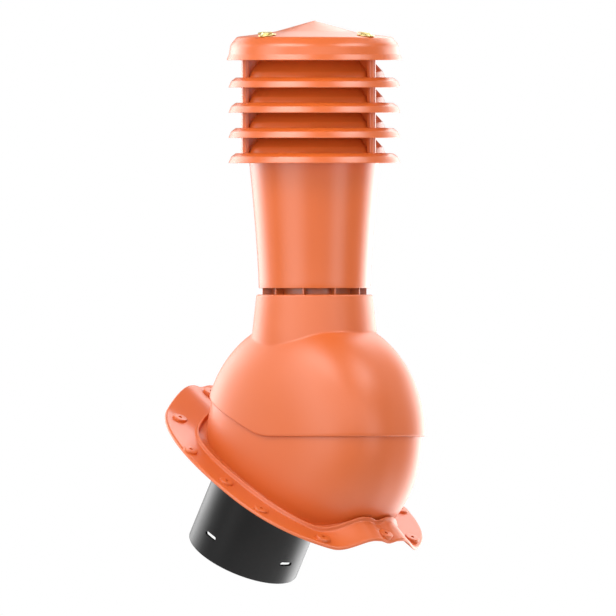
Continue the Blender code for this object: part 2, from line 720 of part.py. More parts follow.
def main():
    """Builds the whole part."""
    for old in list(bpy.data.objects):
        bpy.data.objects.remove(old, do_unlink=True)
    brick = material("brick_plastic", BRICK, 0.38)
    black = material("black_plastic", BLACK, 0.42)
    zinc = material("yellow_zinc", ZINC, 0.3, 1.0)

    roof_frame = bpy.data.objects.new("roof_frame", None)
    roof_frame.rotation_euler = (0, ROOF_PITCH, 0)
    tilt_axis = bpy.data.objects.new("tilt_axis", None)
    tilt_axis.location = Matrix.Rotation(ROOF_PITCH, 3, "Y") @ Vector((TILT_X, 0, TILT_Z))
    for empty in (roof_frame, tilt_axis):
        bpy.context.scene.collection.objects.link(empty)

    base_plate(brick, roof_frame)
    connector_pipe(black, roof_frame)
    dome_shell(brick, tilt_axis)
    neck_sleeve(brick, tilt_axis)
    stack_pipe(brick, tilt_axis)
    for number in range(1, RING_COUNT + 1):
        above = LOWEST_RING + (RING_COUNT - number + 1) * RING_PITCH + RING_BAND - RING_WALL
        louvre_ring(number, cap_ceiling() if number == 1 else above, brick, tilt_axis)
    cap(brick, tilt_axis)
    for number, place in enumerate(screw_places(), start=1):
        cap_screw(number, place, zinc, tilt_axis)


main()
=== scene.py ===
"""Dresses the roof ventilation chimney: fine meshes, moulded plastic, zinc screws and a white studio.

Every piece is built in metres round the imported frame. The base is built square to the roof (x down
the slope, y across, z square to it) and turned to the roof pitch. The stack is built upright round
the dome's tilt axis.
"""

import logging
import math
from collections.abc import Callable, Sequence
from dataclasses import dataclass, field, replace
from enum import Enum
from typing import TypeVar

import bmesh
import bpy
from mathutils import Matrix, Vector


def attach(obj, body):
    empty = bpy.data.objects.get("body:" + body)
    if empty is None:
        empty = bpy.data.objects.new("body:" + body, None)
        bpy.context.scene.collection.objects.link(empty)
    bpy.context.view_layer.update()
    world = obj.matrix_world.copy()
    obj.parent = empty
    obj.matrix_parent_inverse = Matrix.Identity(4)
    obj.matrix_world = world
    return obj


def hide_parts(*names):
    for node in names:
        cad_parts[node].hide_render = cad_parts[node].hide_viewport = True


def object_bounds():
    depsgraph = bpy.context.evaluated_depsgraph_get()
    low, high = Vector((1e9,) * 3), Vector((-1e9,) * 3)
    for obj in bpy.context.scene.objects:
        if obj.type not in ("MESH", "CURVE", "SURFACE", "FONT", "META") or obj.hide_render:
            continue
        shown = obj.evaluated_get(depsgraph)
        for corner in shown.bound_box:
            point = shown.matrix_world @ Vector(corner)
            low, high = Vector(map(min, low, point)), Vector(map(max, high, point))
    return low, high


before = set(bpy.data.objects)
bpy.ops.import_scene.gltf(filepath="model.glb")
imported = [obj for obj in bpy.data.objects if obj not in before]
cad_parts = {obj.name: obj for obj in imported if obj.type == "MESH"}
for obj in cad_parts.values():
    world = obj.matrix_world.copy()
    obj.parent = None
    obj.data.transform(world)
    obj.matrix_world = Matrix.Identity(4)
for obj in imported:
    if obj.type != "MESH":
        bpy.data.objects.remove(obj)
CAD_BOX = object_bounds()

LOG = logging.getLogger("roof_vent")
MM = 0.001
WHOLE_TURN = 2 * math.pi
WELD = 1e-6
SHARP_DEGREES = 40.0
TURN_STEPS = 192
EDGE_SHARE = 0.49
HALVINGS = 40
STEEPEST = 1.5
NOISE_SPAN = (0.3, 0.7)
WHITE = (1.0, 1.0, 1.0, 1.0)
BLACK = (0.0, 0.0, 0.0, 1.0)

Profile = Sequence[tuple[float, float]]
Corner = tuple[float, float, float]
Row = list[Vector]
Blend = TypeVar("Blend", float, Vector)


class Body(Enum):
    """The two bodies of the vent."""

    BASE = "base"
    STACK = "stack"


class Slot(Enum):
    """The record's material slots."""

    BRICK = "brick_plastic"
    BLACK = "black_plastic"
    ZINC = "yellow_zinc"


class Join(Enum):
    """What a tool does to the piece that it meets."""

    ADD = "UNION"
    CUT = "DIFFERENCE"
    KEEP = "INTERSECT"


# Small geometry helpers


def ease(value: float) -> float:
    """Rises smoothly from 0 to 1 as value does."""
    value = min(max(value, 0.0), 1.0)
    return value * value * (3 - 2 * value)


def mix(start: Blend, end: Blend, share: float) -> Blend:
    """A number or a point between two others."""
    return start + (end - start) * share


def even_angles(count: int, shift: float = 0.0) -> list[float]:
    """Directions spread evenly over a whole turn, shifted by a share of a step."""
    return [WHOLE_TURN * (step + shift) / count for step in range(count)]


def oval_point(
    angle: float, half_length: float, half_width: float, power: float
) -> tuple[float, float]:
    """A point on a rounded oval.

    Args:
        angle: direction round the middle, in radians.
        half_length: half the oval's length.
        half_width: half the oval's width.
        power: 2 for an ellipse, more for squarer shoulders.

    Returns:
        The point's place along and across the oval.
    """
    cosine, sine = math.cos(angle), math.sin(angle)
    along = math.copysign(abs(cosine) ** (2 / power), cosine) * half_length
    across = math.copysign(abs(sine) ** (2 / power), sine) * half_width
    return along, across


def rounded(corners: Sequence[Corner], steps: int = 4, closed: bool = True) -> Profile:
    """Rounds the corners of an outline.

    Args:
        corners: (first, second, radius) for each corner.
        steps: how many facets each rounding has.
        closed: whether the outline comes back to its first corner.

    Returns:
        The rounded outline's points.
    """
    points: list[tuple[float, float]] = []
    count = len(corners)
    for place, (first, second, radius) in enumerate(corners):
        here = Vector((first, second))
        at_end = not closed and place in (0, count - 1)
        if radius <= 0 or at_end:
            points.append((first, second))
            continue
        before = Vector(corners[place - 1][:2]) - here
        after = Vector(corners[(place + 1) % count][:2]) - here
        turn = before.angle(after)
        room = min(before.length, after.length) * EDGE_SHARE
        length = min(radius / math.tan(turn / 2), room)
        start = here + before.normalized() * length
        end = here + after.normalized() * length
        for step in range(steps + 1):
            share = step / steps
            weight = 2 * share * (1 - share) * math.sin(turn / 2)
            left, right = (1 - share) ** 2, share**2
            point = (start * left + here * weight + end * right) / (left + weight + right)
            points.append((point.x, point.y))
    return points


def quadratic(start: Vector, middle: Vector, end: Vector, steps: int) -> Row:
    """Points of a quadratic curve that leaves its start and reaches its end along the middle point.

    Args:
        start: where the curve starts.
        middle: the point that both its ends aim at.
        end: where the curve ends.
        steps: its facets.

    Returns:
        The curve's points, with both ends.
    """
    curve = []
    for step in range(steps + 1):
        share = step / steps
        curve.append(start * (1 - share) ** 2 + middle * (2 * share * (1 - share)) + end * share**2)
    return curve


def solve(test: Callable[[float], float], low: float, high: float) -> float:
    """Halves the span until the test's sign change is found.

    Args:
        test: falls from above 0 at low to below 0 at high.
        low: start of the span.
        high: end of the span.

    Returns:
        Where the test is 0.
    """
    for _ in range(HALVINGS):
        middle = (low + high) / 2
        if test(middle) > 0:
            low = middle
        else:
            high = middle
    return (low + high) / 2


class Mesh:
    """Builds a mesh object and shapes it with tools."""

    def __init__(self, name: str, place: Matrix | None = None) -> None:
        """Starts an empty piece.

        Args:
            name: the piece's name.
            place: the frame that the piece is modelled in.
        """
        self.name = name
        self.place = place or Matrix.Identity(4)
        self.bm = bmesh.new()

    def loft(self, rows: Sequence[Row], loop: bool = False) -> "Mesh":
        """Joins rings of equally many points into a skin.

        Args:
            rows: the rings, each closed on itself.
            loop: whether the last ring joins the first.

        Returns:
            This piece.
        """
        made = [[self.bm.verts.new(point) for point in row] for row in rows]
        pairs = list(zip(made, made[1:]))
        if loop:
            pairs.append((made[-1], made[0]))
        for row, following in pairs:
            for step in range(len(row)):
                after = (step + 1) % len(row)
                self.bm.faces.new((row[step], row[after], following[after], following[step]))
        return self

    def turned(self, profile: Profile, steps: int, closed: bool = True) -> "Mesh":
        """Turns a (radius, height) outline round the upright axis.

        Args:
            profile: the outline.
            steps: facets in a whole turn.
            closed: whether the outline is closed, as a hollow piece's is.

        Returns:
            This piece.
        """
        rows = []
        for radius, height in profile:
            row = []
            for angle in even_angles(steps):
                row.append(Vector((radius * math.cos(angle), radius * math.sin(angle), height)))
            rows.append(row)
        return self.loft(rows, loop=closed)

    def prism(self, outline: Profile, low: float, high: float, turn: Matrix | None = None) -> "Mesh":
        """Draws a flat outline up from one height to another.

        Args:
            outline: the (x, y) points.
            low: height of its foot.
            high: height of its top.
            turn: where it goes.

        Returns:
            This piece.
        """
        turn = turn or Matrix.Identity(4)
        rings = []
        for height in (low, high):
            rings.append([self.bm.verts.new(turn @ Vector((x, y, height))) for x, y in outline])
        for step in range(len(outline)):
            after = (step + 1) % len(outline)
            self.bm.faces.new((rings[0][step], rings[0][after], rings[1][after], rings[1][step]))
        self.bm.faces.new(rings[0])
        self.bm.faces.new(rings[1])
        return self

    def done(self, sharp_degrees: float = SHARP_DEGREES) -> bpy.types.Object:
        """Closes the mesh and puts it in the scene.

        Args:
            sharp_degrees: edges that turn more than this stay sharp.

        Returns:
            The finished object.
        """
        bmesh.ops.remove_doubles(self.bm, verts=self.bm.verts, dist=WELD)
        bmesh.ops.recalc_face_normals(self.bm, faces=self.bm.faces)
        mesh = bpy.data.meshes.new(self.name)
        self.bm.to_mesh(mesh)
        self.bm.free()
        mesh.transform(self.place)
        made = bpy.data.objects.new(self.name, mesh)
        bpy.context.scene.collection.objects.link(made)
        shade(made, sharp_degrees)
        return made


def shade(piece: bpy.types.Object, sharp_degrees: float) -> None:
    """Shades a piece smooth but for its sharp edges.

    Args:
        piece: the object.
        sharp_degrees: edges that turn more than this stay sharp.
    """
    piece.data.shade_smooth()
    piece.data.set_sharp_from_angle(angle=math.radians(sharp_degrees))


def work(target: bpy.types.Object, tool: bpy.types.Object, join: Join) -> None:
    """Adds a tool to a piece, cuts it away or keeps what lies in both, for good.

    Args:
        target: the piece.
        tool: the tool, which is used up.
        join: what the tool does.
    """
    step = target.modifiers.new("step", "BOOLEAN")
    step.object = tool
    step.operation = join.value
    step.solver = "EXACT"
    graph = bpy.context.evaluated_depsgraph_get()
    made = bpy.data.meshes.new_from_object(target.evaluated_get(graph))
    target.modifiers.clear()
    old = target.data
    target.data = made
    made.name = old.name
    bpy.data.meshes.remove(old)
    bpy.data.objects.remove(tool)
    shade(target, SHARP_DEGREES)


# Finishes


class NodeBench:
    """A material's node tree with short calls to fill it."""

    def __init__(self, name: str) -> None:
        """Starts a material with its shader.

        Args:
            name: the material's name.
        """
        self.material = bpy.data.materials.new(name)
        self.material.use_nodes = True
        self.tree = self.material.node_tree
        self.shader = self.tree.nodes["Principled BSDF"]
        self.coordinates = self.tree.nodes.new("ShaderNodeTexCoord")

    def noise(self, scale: float, detail: float = 3.0) -> bpy.types.NodeSocket:
        """Noise in object space, as its factor.

        Args:
            scale: how fine it is.
            detail: how many finer layers it has.

        Returns:
            The noise's factor.
        """
        node = self.tree.nodes.new("ShaderNodeTexNoise")
        node.inputs["Scale"].default_value = scale
        node.inputs["Detail"].default_value = detail
        self.tree.links.new(self.coordinates.outputs["Object"], node.inputs["Vector"])
        return node.outputs["Fac"]

    def ramp(self, source: bpy.types.NodeSocket, low: float, high: float) -> bpy.types.NodeSocket:
        """Maps a noise factor onto a span of values.

        Args:
            source: the factor.
            low: the value at its low end.
            high: the value at its high end.

        Returns:
            The value.
        """
        node = self.tree.nodes.new("ShaderNodeMapRange")
        node.inputs["From Min"].default_value, node.inputs["From Max"].default_value = NOISE_SPAN
        node.inputs["To Min"].default_value = low
        node.inputs["To Max"].default_value = high
        self.tree.links.new(source, node.inputs["Value"])
        return node.outputs["Result"]

    def blend(
        self, share: bpy.types.NodeSocket, first: Sequence[float], second: Sequence[float]
    ) -> bpy.types.NodeSocket:
        """Mixes two colours by a factor.

        Args:
            share: how much of the second colour there is.
            first: the first colour.
            second: the second colour.

        Returns:
            The mixed colour.
        """
        node = self.tree.nodes.new("ShaderNodeMix")
        node.data_type = "RGBA"
        node.inputs["A"].default_value = (*first, 1.0)
        node.inputs["B"].default_value = (*second, 1.0)
        self.tree.links.new(share, node.inputs["Factor"])
        return node.outputs["Result"]

    def bump(self, height: bpy.types.NodeSocket, strength: float, distance: float) -> None:
        """Raises the surface a little by a height.

        Args:
            height: the height to raise it by.
            strength: how much of it shows.
            distance: the full height, in metres.
        """
        node = self.tree.nodes.new("ShaderNodeBump")
        node.inputs["Strength"].default_value = strength
        node.inputs["Distance"].default_value = distance
        self.tree.links.new(height, node.inputs["Height"])
        self.tree.links.new(node.outputs["Normal"], self.shader.inputs["Normal"])

    def feed(self, source: bpy.types.NodeSocket, socket: str) -> None:
        """Links a value to one of the shader's sockets."""
        self.tree.links.new(source, self.shader.inputs[socket])

    def fix(self, socket: str, value: float | tuple[float, ...]) -> None:
        """Sets one of the shader's sockets to a plain value."""
        self.shader.inputs[socket].default_value = value


@dataclass(frozen=True)
class MouldedPlastic:
    """Smooth moulded plastic with a faint cloudiness and a fine skin."""

    name: str
    colour: tuple[float, float, float]
    cloud: tuple[float, float, float]
    roughness: tuple[float, float]
    specular: float
    skin: float
    cloud_scale: float = 9.0
    gloss_scale: float = 30.0
    skin_scale: float = 900.0
    skin_height: float = 0.2 * MM
    index: float = 1.5

    def build(self) -> bpy.types.Material:
        """Makes the material.

        Returns:
            The material.
        """
        bench = NodeBench(self.name)
        cloudiness = bench.ramp(bench.noise(self.cloud_scale), 0.0, 1.0)
        bench.feed(bench.blend(cloudiness, self.colour, self.cloud), "Base Color")
        bench.feed(bench.ramp(bench.noise(self.gloss_scale, 4.0), *self.roughness), "Roughness")
        bench.bump(bench.noise(self.skin_scale, 2.0), self.skin, self.skin_height)
        bench.fix("Specular IOR Level", self.specular)
        bench.fix("IOR", self.index)
        return bench.material


@dataclass(frozen=True)
class ZincPlate:
    """Yellow zinc plating, faintly patchy."""

    name: str
    colour: tuple[float, float, float]
    patch: tuple[float, float, float]
    roughness: tuple[float, float] = (0.22, 0.34)
    patch_scale: float = 260.0
    gloss_scale: float = 500.0
    skin: float = 0.1
    skin_scale: float = 1500.0
    skin_height: float = 0.1 * MM

    def build(self) -> bpy.types.Material:
        """Makes the material.

        Returns:
            The material.
        """
        bench = NodeBench(self.name)
        patches = bench.ramp(bench.noise(self.patch_scale), 0.0, 1.0)
        bench.feed(bench.blend(patches, self.colour, self.patch), "Base Color")
        bench.feed(bench.ramp(bench.noise(self.gloss_scale), *self.roughness), "Roughness")
        bench.bump(bench.noise(self.skin_scale), self.skin, self.skin_height)
        bench.fix("Metallic", 1.0)
        return bench.material


BRICK_PLASTIC = MouldedPlastic(
    "brick_plastic", (0.66, 0.124, 0.019), (0.64, 0.118, 0.017), (0.29, 0.31), 0.9, 0.04
)
DOME_PLASTIC = replace(BRICK_PLASTIC, name="brick_plastic_dome", roughness=(0.40, 0.43))
BLACK_PLASTIC = MouldedPlastic(
    "black_plastic", (0.004, 0.004, 0.0042), (0.005, 0.005, 0.0052), (0.34, 0.38), 0.3, 0.05
)
YELLOW_ZINC = ZincPlate("yellow_zinc", (0.80, 0.62, 0.22), (0.70, 0.60, 0.30))


@dataclass
class Dresser:
    """Gives each piece its finish and its body, and hides the imported node that it stands for."""

    finishes: dict[Slot, bpy.types.Material] = field(default_factory=dict)
    dome_finish: bpy.types.Material | None = None

    def prepare(self) -> None:
        """Makes the finishes once."""
        self.finishes[Slot.BRICK] = BRICK_PLASTIC.build()
        self.finishes[Slot.BLACK] = BLACK_PLASTIC.build()
        self.finishes[Slot.ZINC] = YELLOW_ZINC.build()
        self.dome_finish = DOME_PLASTIC.build()

    def dress(self, piece: bpy.types.Object, slot: Slot, body: Body, node: str) -> None:
        """Finishes a piece.

        Args:
            piece: the object.
            slot: its material slot.
            body: the body that it moves with.
            node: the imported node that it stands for.
        """
        piece.data.materials.clear()
        piece.data.materials.append(self.finishes[slot])
        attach(piece, body.value)
        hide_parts(node)
        LOG.info("%s: %d faces", piece.name, len(piece.data.polygons))

    def dull(self, piece: bpy.types.Object) -> None:
        """Gives a piece of the dome its duller finish."""
        piece.data.materials[0] = self.dome_finish


# Setting out


@dataclass(frozen=True)
class Setting:
    """How the base and the stack stand."""

    roof_pitch: float = math.radians(30.0)
    tilt_x: float = 31.0 * MM
    tilt_z: float = 59.6 * MM
    head_turn: float = math.radians(5.5)

    def roof(self) -> Matrix:
        """The frame square to the roof."""
        return Matrix.Rotation(self.roof_pitch, 4, "Y")

    def tilt_axis(self) -> Vector:
        """The middle of the dome."""
        return self.roof() @ Vector((self.tilt_x, 0.0, self.tilt_z))

    def upright(self) -> Matrix:
        """The upright frame on the tilt axis."""
        return Matrix.Translation(self.tilt_axis())


SETTING = Setting()


# The base and the dome


@dataclass(frozen=True)
class Drum:
    """A dome drum: a rounded box section turned round the cross axis."""

    radius: float
    half_width: float
    power: float = 2.7

    def at(self, direction: Vector) -> Vector:
        """The drum's point in a direction from its middle.

        Args:
            direction: the direction, of any length.

        Returns:
            The point, from the drum's middle.
        """
        round_share = math.hypot(direction.x, direction.z) / self.radius
        across_share = abs(direction.y) / self.half_width
        return direction * (round_share**self.power + across_share**self.power) ** (-1 / self.power)

    def toward(self, azimuth: float, elevation: float) -> Vector:
        """The drum's point at an azimuth and an elevation.

        Args:
            azimuth: direction round the upright axis.
            elevation: angle above the level plane.

        Returns:
            The point, from the drum's middle.
        """
        flat = math.cos(elevation)
        direction = (flat * math.cos(azimuth), flat * math.sin(azimuth), math.sin(elevation))
        return self.at(Vector(direction))

    def level(self, azimuth: float, height: float) -> float:
        """The elevation at which the drum has a height."""
        return solve(lambda angle: height - self.toward(azimuth, angle).z, -STEEPEST, STEEPEST)

    def thinned(self, wall: float) -> "Drum":
        """The drum inside this one by a wall."""
        return Drum(self.radius - wall, self.half_width - wall, self.power)


LOWER_DRUM = Drum(128.0 * MM, 82.0 * MM)
UPPER_DRUM = Drum(131.6 * MM, 85.6 * MM)
DOME_WALL = 3.0 * MM


@dataclass
class RoofBase:
    """Flange, bead, bosses and the dome's lower shell, as one moulding."""

    columns: int = 288
    plate_steps: int = 13
    under_steps: int = 9
    drum_steps: int = 28
    inside_steps: int = 20
    boss_steps: int = 40
    plate: float = 3.6 * MM
    edge_radius: float = 2.6 * MM
    edge_steps: int = 5
    foot_rounding: Profile = ((1.0 * MM, 0.0), (0.3 * MM, 0.3 * MM), (0.0, 1.0 * MM))
    flange_centre: float = 55.0 * MM
    flange_downslope: float = 132.9 * MM
    flange_upslope: float = 203.0 * MM
    flange_half_width: float = 123.0 * MM
    flange_power: float = 2.2
    bead_reach: float = 129.0 * MM
    bead_half_width: float = 90.0 * MM
    bead_power: float = 2.5
    bead_height: float = 4.5 * MM
    bead_foot: float = 1.6 * MM
    gutter_inset: float = 2.8 * MM
    gutter_height: float = -0.6 * MM
    gutter_climb: float = 1.2 * MM
    gutter_steps: int = 8
    azimuth_inset: float = 3.0 * MM
    wave_half_width: float = 65.0 * MM
    wave_flat: float = 19.0 * MM
    wave_dip: float = 0.14
    wave_dip_half_width: float = 13.0 * MM
    wave_edge: float = 19.0 * MM
    wave_downslope: float = 25.0 * MM
    wave_upslope: float = 15.0 * MM
    floor_low: float = 1.0 * MM
    floor_top: float = 4.0 * MM
    hole_radius: float = 62.8 * MM
    mouth_downslope: float = math.radians(62.0)
    mouth_upslope: float = math.radians(18.0)
    boss_places: tuple[tuple[float, float, float], ...] = (
        (-131, 0, 1.6), (-105, 61, 0.0), (-36, 104, 0.0), (32, 108, 0.0), (92, 107, 0.0),
        (156, 68, 1.2), (178, 0, 2.4),
    )
    boss_radius: float = 8.0 * MM
    boss_height: float = 2.4 * MM
    boss_hole: float = 2.1 * MM
    boss_sink: float = 0.8 * MM
    boss_edge: float = 0.9 * MM
    hole_reach: float = 20.0 * MM

    def wave(self, across: float, height: float) -> float:
        """Height of the double wave at a distance across the flange.

        Args:
            across: the distance from the flange's middle line.
            height: the wave's full height there.

        Returns:
            The height above the flat part.
        """
        side = abs(across)
        rise = ease((self.wave_half_width - side) / (self.wave_half_width - self.wave_flat))
        dip = self.wave_dip * (1 - ease(side / self.wave_dip_half_width))
        return height * (rise - dip)

    def crest(self, angle: float, nearness: float) -> float:
        """Full height of the wave between the flange's edge and the bead.

        Args:
            angle: direction round the flange.
            nearness: 0 at the edge and 1 at the bead.

        Returns:
            The full height.
        """
        share = (1 + math.cos(angle)) / 2
        inner = mix(self.wave_upslope, self.wave_downslope, ease(share * 2 - 0.5))
        return mix(self.wave_edge, inner, nearness)

    def edge(self, angle: float, inset: float) -> tuple[float, float]:
        """A point of the flange's outline.

        Args:
            angle: direction round the flange.
            inset: how far inside the outline.

        Returns:
            Its place down the slope and across.
        """
        reach = self.flange_downslope if math.cos(angle) > 0 else self.flange_upslope
        width = self.flange_half_width - inset
        along, across = oval_point(angle, reach - inset, width, self.flange_power)
        return self.flange_centre + along, across

    def bead(self, angle: float, inset: float) -> tuple[float, float]:
        """A point of the bead's outline.

        Args:
            angle: direction round the bead.
            inset: how far inside the outline.

        Returns:
            Its place down the slope and across.
        """
        width = self.bead_half_width - inset
        along, across = oval_point(angle, self.bead_reach - inset, width, self.bead_power)
        return SETTING.tilt_x + along, across

    def edge_row(self, inset: float, height: float) -> Row:
        """A ring near the flange's outline.

        Args:
            inset: how far inside the outline.
            height: its height above the underside.

        Returns:
            The ring.
        """
        row = []
        for angle in self.angles():
            x, y = self.edge(angle, inset)
            row.append(Vector((x, y, self.wave(y, self.wave_edge) + height)))
        return row

    def bead_row(self, inset: float, height: float) -> Row:
        """A ring near the bead's outline.

        Args:
            inset: how far inside the outline.
            height: its height above the underside.

        Returns:
            The ring.
        """
        row = []
        for angle in self.angles():
            x, y = self.bead(angle, inset)
            row.append(Vector((x, y, self.wave(y, self.crest(angle, 1.0)) + height)))
        return row

    def plate_row(self, share: float, height: float, start: float, end: float) -> Row:
        """A ring between the flange's outline and the bead's.

        Args:
            share: 0 at the flange's outline and 1 at the bead's.
            height: its height above the underside.
            start: how far inside the flange's outline the span starts.
            end: how far inside the bead's outline the span ends.

        Returns:
            The ring.
        """
        row = []
        for angle in self.angles():
            outer = Vector((*self.edge(angle, start), 0.0))
            inner = Vector((*self.bead(angle, end), 0.0))
            point = mix(outer, inner, share)
            point.z = self.wave(point.y, self.crest(angle, share)) + height
            row.append(point)
        return row

    def angles(self) -> list[float]:
        """The directions of the rings' points."""
        return even_angles(self.columns, 0.5)

    def azimuths(self) -> list[float]:
        """The directions of the bead's points from the middle of the dome.

        Returns:
            One azimuth for each point.
        """
        found = []
        for angle in self.angles():
            x, y = self.bead(angle, self.azimuth_inset)
            found.append(math.atan2(y, x - SETTING.tilt_x))
        return found

    def drum_rows(self) -> list[Row]:
        """The gutter behind the bead, the dome's outside, its mouth and its inside down to the floor.

        Returns:
            The rings, in that order.
        """
        middle = Vector((SETTING.tilt_x, 0.0, SETTING.tilt_z))
        inner_drum = LOWER_DRUM.thinned(DOME_WALL)
        gutter = self.bead_row(self.gutter_inset, self.plate + self.gutter_height)
        columns = []
        for start, azimuth in zip(gutter, self.azimuths()):
            low = LOWER_DRUM.level(azimuth, start.z - SETTING.tilt_z)
            corner = LOWER_DRUM.toward(azimuth, low) + middle
            rise = LOWER_DRUM.level(azimuth, start.z + self.gutter_climb - SETTING.tilt_z)
            climbed = LOWER_DRUM.toward(azimuth, rise) + middle
            column = quadratic(start, corner, climbed, self.gutter_steps)[1:]
            steepness = math.tan(self.mouth_downslope if math.cos(azimuth) > 0 else self.mouth_upslope)
            mouth = math.atan(steepness * abs(math.cos(azimuth)))
            for step in range(1, self.drum_steps + 1):
                elevation = mix(rise, mouth, step / self.drum_steps)
                column.append(LOWER_DRUM.toward(azimuth, elevation) + middle)
            bottom = inner_drum.level(azimuth, self.floor_top - SETTING.tilt_z)
            for step in range(self.inside_steps + 1):
                elevation = mix(mouth, bottom, step / self.inside_steps)
                column.append(inner_drum.toward(azimuth, elevation) + middle)
            columns.append(column)
        return [list(row) for row in zip(*columns)]

    def under_rows(self) -> list[Row]:
        """The hole for the pipe and the floor's underside out to the drum's foot.

        Returns:
            The rings, from the hole out.
        """
        middle = Vector((SETTING.tilt_x, 0.0, SETTING.tilt_z))
        rows: list[Row] = [[], [], [], []]
        for angle, azimuth in zip(self.angles(), self.azimuths()):
            x, y = self.hole_radius * math.cos(azimuth), self.hole_radius * math.sin(azimuth)
            rows[0].append(Vector((x, y, self.floor_top)))
            rows[1].append(Vector((x, y, self.floor_low)))
            foot = LOWER_DRUM.level(azimuth, self.floor_low - SETTING.tilt_z)
            rows[2].append(LOWER_DRUM.toward(azimuth, foot) + middle)
            under = max(self.wave(rows[2][-1].y, self.crest(angle, 1.0)), self.floor_low)
            above = LOWER_DRUM.level(azimuth, under - SETTING.tilt_z)
            rows[3].append(LOWER_DRUM.toward(azimuth, above) + middle)
        return rows

    def bead_section(self) -> Profile:
        """Section of the bead from its outer foot over its crest.

        Returns:
            (inset, height) points, from the bead's outline and the plate's top.
        """
        crest = self.bead_height
        return [
            (-self.bead_foot, 0.0), (-0.9 * MM, 0.25 * MM), (-0.5 * MM, 0.9 * MM),
            (-0.3 * MM, crest - 1.4 * MM), (-0.1 * MM, crest - 0.6 * MM), (0.3 * MM, crest - 0.15 * MM),
            (0.8 * MM, crest), (1.3 * MM, crest - 0.15 * MM), (1.7 * MM, crest - 0.6 * MM),
            (2.0 * MM, crest - 1.6 * MM), (2.2 * MM, crest - 2.8 * MM),
        ]

    def bosses(self) -> tuple[bpy.types.Object, bpy.types.Object]:
        """The screw bosses and the holes through them, as two tools.

        Returns:
            The bosses and the holes.
        """
        discs, holes = Mesh("boss_tool", SETTING.roof()), Mesh("boss_hole_tool", SETTING.roof())
        for along, across, extra in self.boss_places:
            for side in (1,) if across == 0 else (1, -1):
                x, y = along * MM, across * side * MM
                under = self.wave(y, self.wave_edge)
                top = under + self.plate + self.boss_height + extra * MM
                self.stud(discs, x, y, self.boss_radius, under + self.boss_sink, top, self.boss_edge)
                reach = self.hole_reach
                self.stud(holes, x, y, self.boss_hole, under - reach, top + reach, 0.0)
        return discs.done(), holes.done()

    def stud(
        self, mesh: Mesh, x: float, y: float, radius: float, low: float, high: float, edge: float
    ) -> None:
        """Adds a round stud with a rounded top edge.

        Args:
            mesh: the piece to add it to.
            x: its place down the slope.
            y: its place across.
            radius: its radius.
            low: height of its foot.
            high: height of its top.
            edge: radius of its top edge.
        """
        outline = rounded([(0, low, 0), (radius, low, 0), (radius, high, edge), (0, high, 0)], 3, False)
        rows = []
        for reach, height in outline:
            row = []
            for angle in even_angles(self.boss_steps):
                row.append(Vector((x + reach * math.cos(angle), y + reach * math.sin(angle), height)))
            rows.append(row)
        mesh.loft(rows)

    def build(self, dresser: Dresser) -> None:
        """Makes the moulding.

        Args:
            dresser: dresses it.
        """
        top = self.plate
        rows = [self.edge_row(inset, height) for inset, height in self.foot_rounding]
        for step in range(self.edge_steps + 1):
            angle = math.pi / 2 * step / self.edge_steps
            inset = self.edge_radius * (1 - math.cos(angle))
            rows.append(self.edge_row(inset, top - self.edge_radius * (1 - math.sin(angle))))
        for step in range(1, self.plate_steps):
            rows.append(self.plate_row(step / self.plate_steps, top, self.edge_radius, -self.bead_foot))
        for inset, height in self.bead_section():
            rows.append(self.bead_row(inset, top + height))
        rows.append(self.bead_row(self.gutter_inset, top + self.gutter_height))
        rows.extend(self.drum_rows())
        rows.extend(self.under_rows())
        for step in range(self.under_steps, 0, -1):
            rows.append(self.plate_row(step / self.under_steps, 0.0, self.foot_rounding[0][0], 0.0))
        base = Mesh("base_moulding", SETTING.roof()).loft(rows, loop=True).done()
        discs, holes = self.bosses()
        work(base, discs, Join.ADD)
        work(base, holes, Join.CUT)
        dresser.dress(base, Slot.BRICK, Body.BASE, "base_plate")
        dresser.dull(base)


@dataclass
class ConnectorPipe:
    """The black pipe below the flange, with four slots near its end."""

    radius: float = 62.5 * MM
    wall: float = 3.2 * MM
    reach: float = 106.4 * MM
    seat: float = 4.3 * MM
    rim_radius: float = 69.0 * MM
    rim_height: float = 3.0 * MM
    slot_from_end: float = 25.0 * MM
    slot_length: float = 17.0 * MM
    slot_height: float = 4.2 * MM
    slot_rounding: float = 0.9
    slots: int = 4
    tool_reach: float = 8.0 * MM

    def build(self, dresser: Dresser) -> None:
        """Makes the pipe.

        Args:
            dresser: dresses it.
        """
        inner = self.radius - self.wall
        top = self.seat + self.rim_height
        corners = [
            (inner, -self.reach, 0.8 * MM),
            (self.radius, -self.reach, 1.2 * MM),
            (self.radius, -self.reach / 2, 0),
            (self.radius, self.seat, 0),
            (self.rim_radius, self.seat, 0.6 * MM),
            (self.rim_radius, top, 0.8 * MM),
            (inner, top, 0.8 * MM),
            (inner, -self.reach / 2, 0),
        ]
        pipe = Mesh("connector_pipe_shell", SETTING.roof()).turned(rounded(corners), TURN_STEPS).done()
        half, tall = self.slot_length / 2, self.slot_height / 2
        ends = [
            (along * half, up * tall, self.slot_rounding * tall)
            for along, up in ((-1, -1), (1, -1), (1, 1), (-1, 1))
        ]
        low, high = inner - self.tool_reach, self.radius + self.tool_reach
        lift = Matrix.Translation((0, 0, -self.reach + self.slot_from_end))
        lie = Matrix(((0, 0, 1, 0), (1, 0, 0, 0), (0, 1, 0, 0), (0, 0, 0, 1)))
        cutters = Mesh("slot_tool", SETTING.roof())
        for angle in even_angles(self.slots):
            cutters.prism(rounded(ends, 5), low, high, Matrix.Rotation(angle, 4, "Z") @ lift @ lie)
        work(pipe, cutters.done(), Join.CUT)
        dresser.dress(pipe, Slot.BLACK, Body.BASE, "connector_pipe")


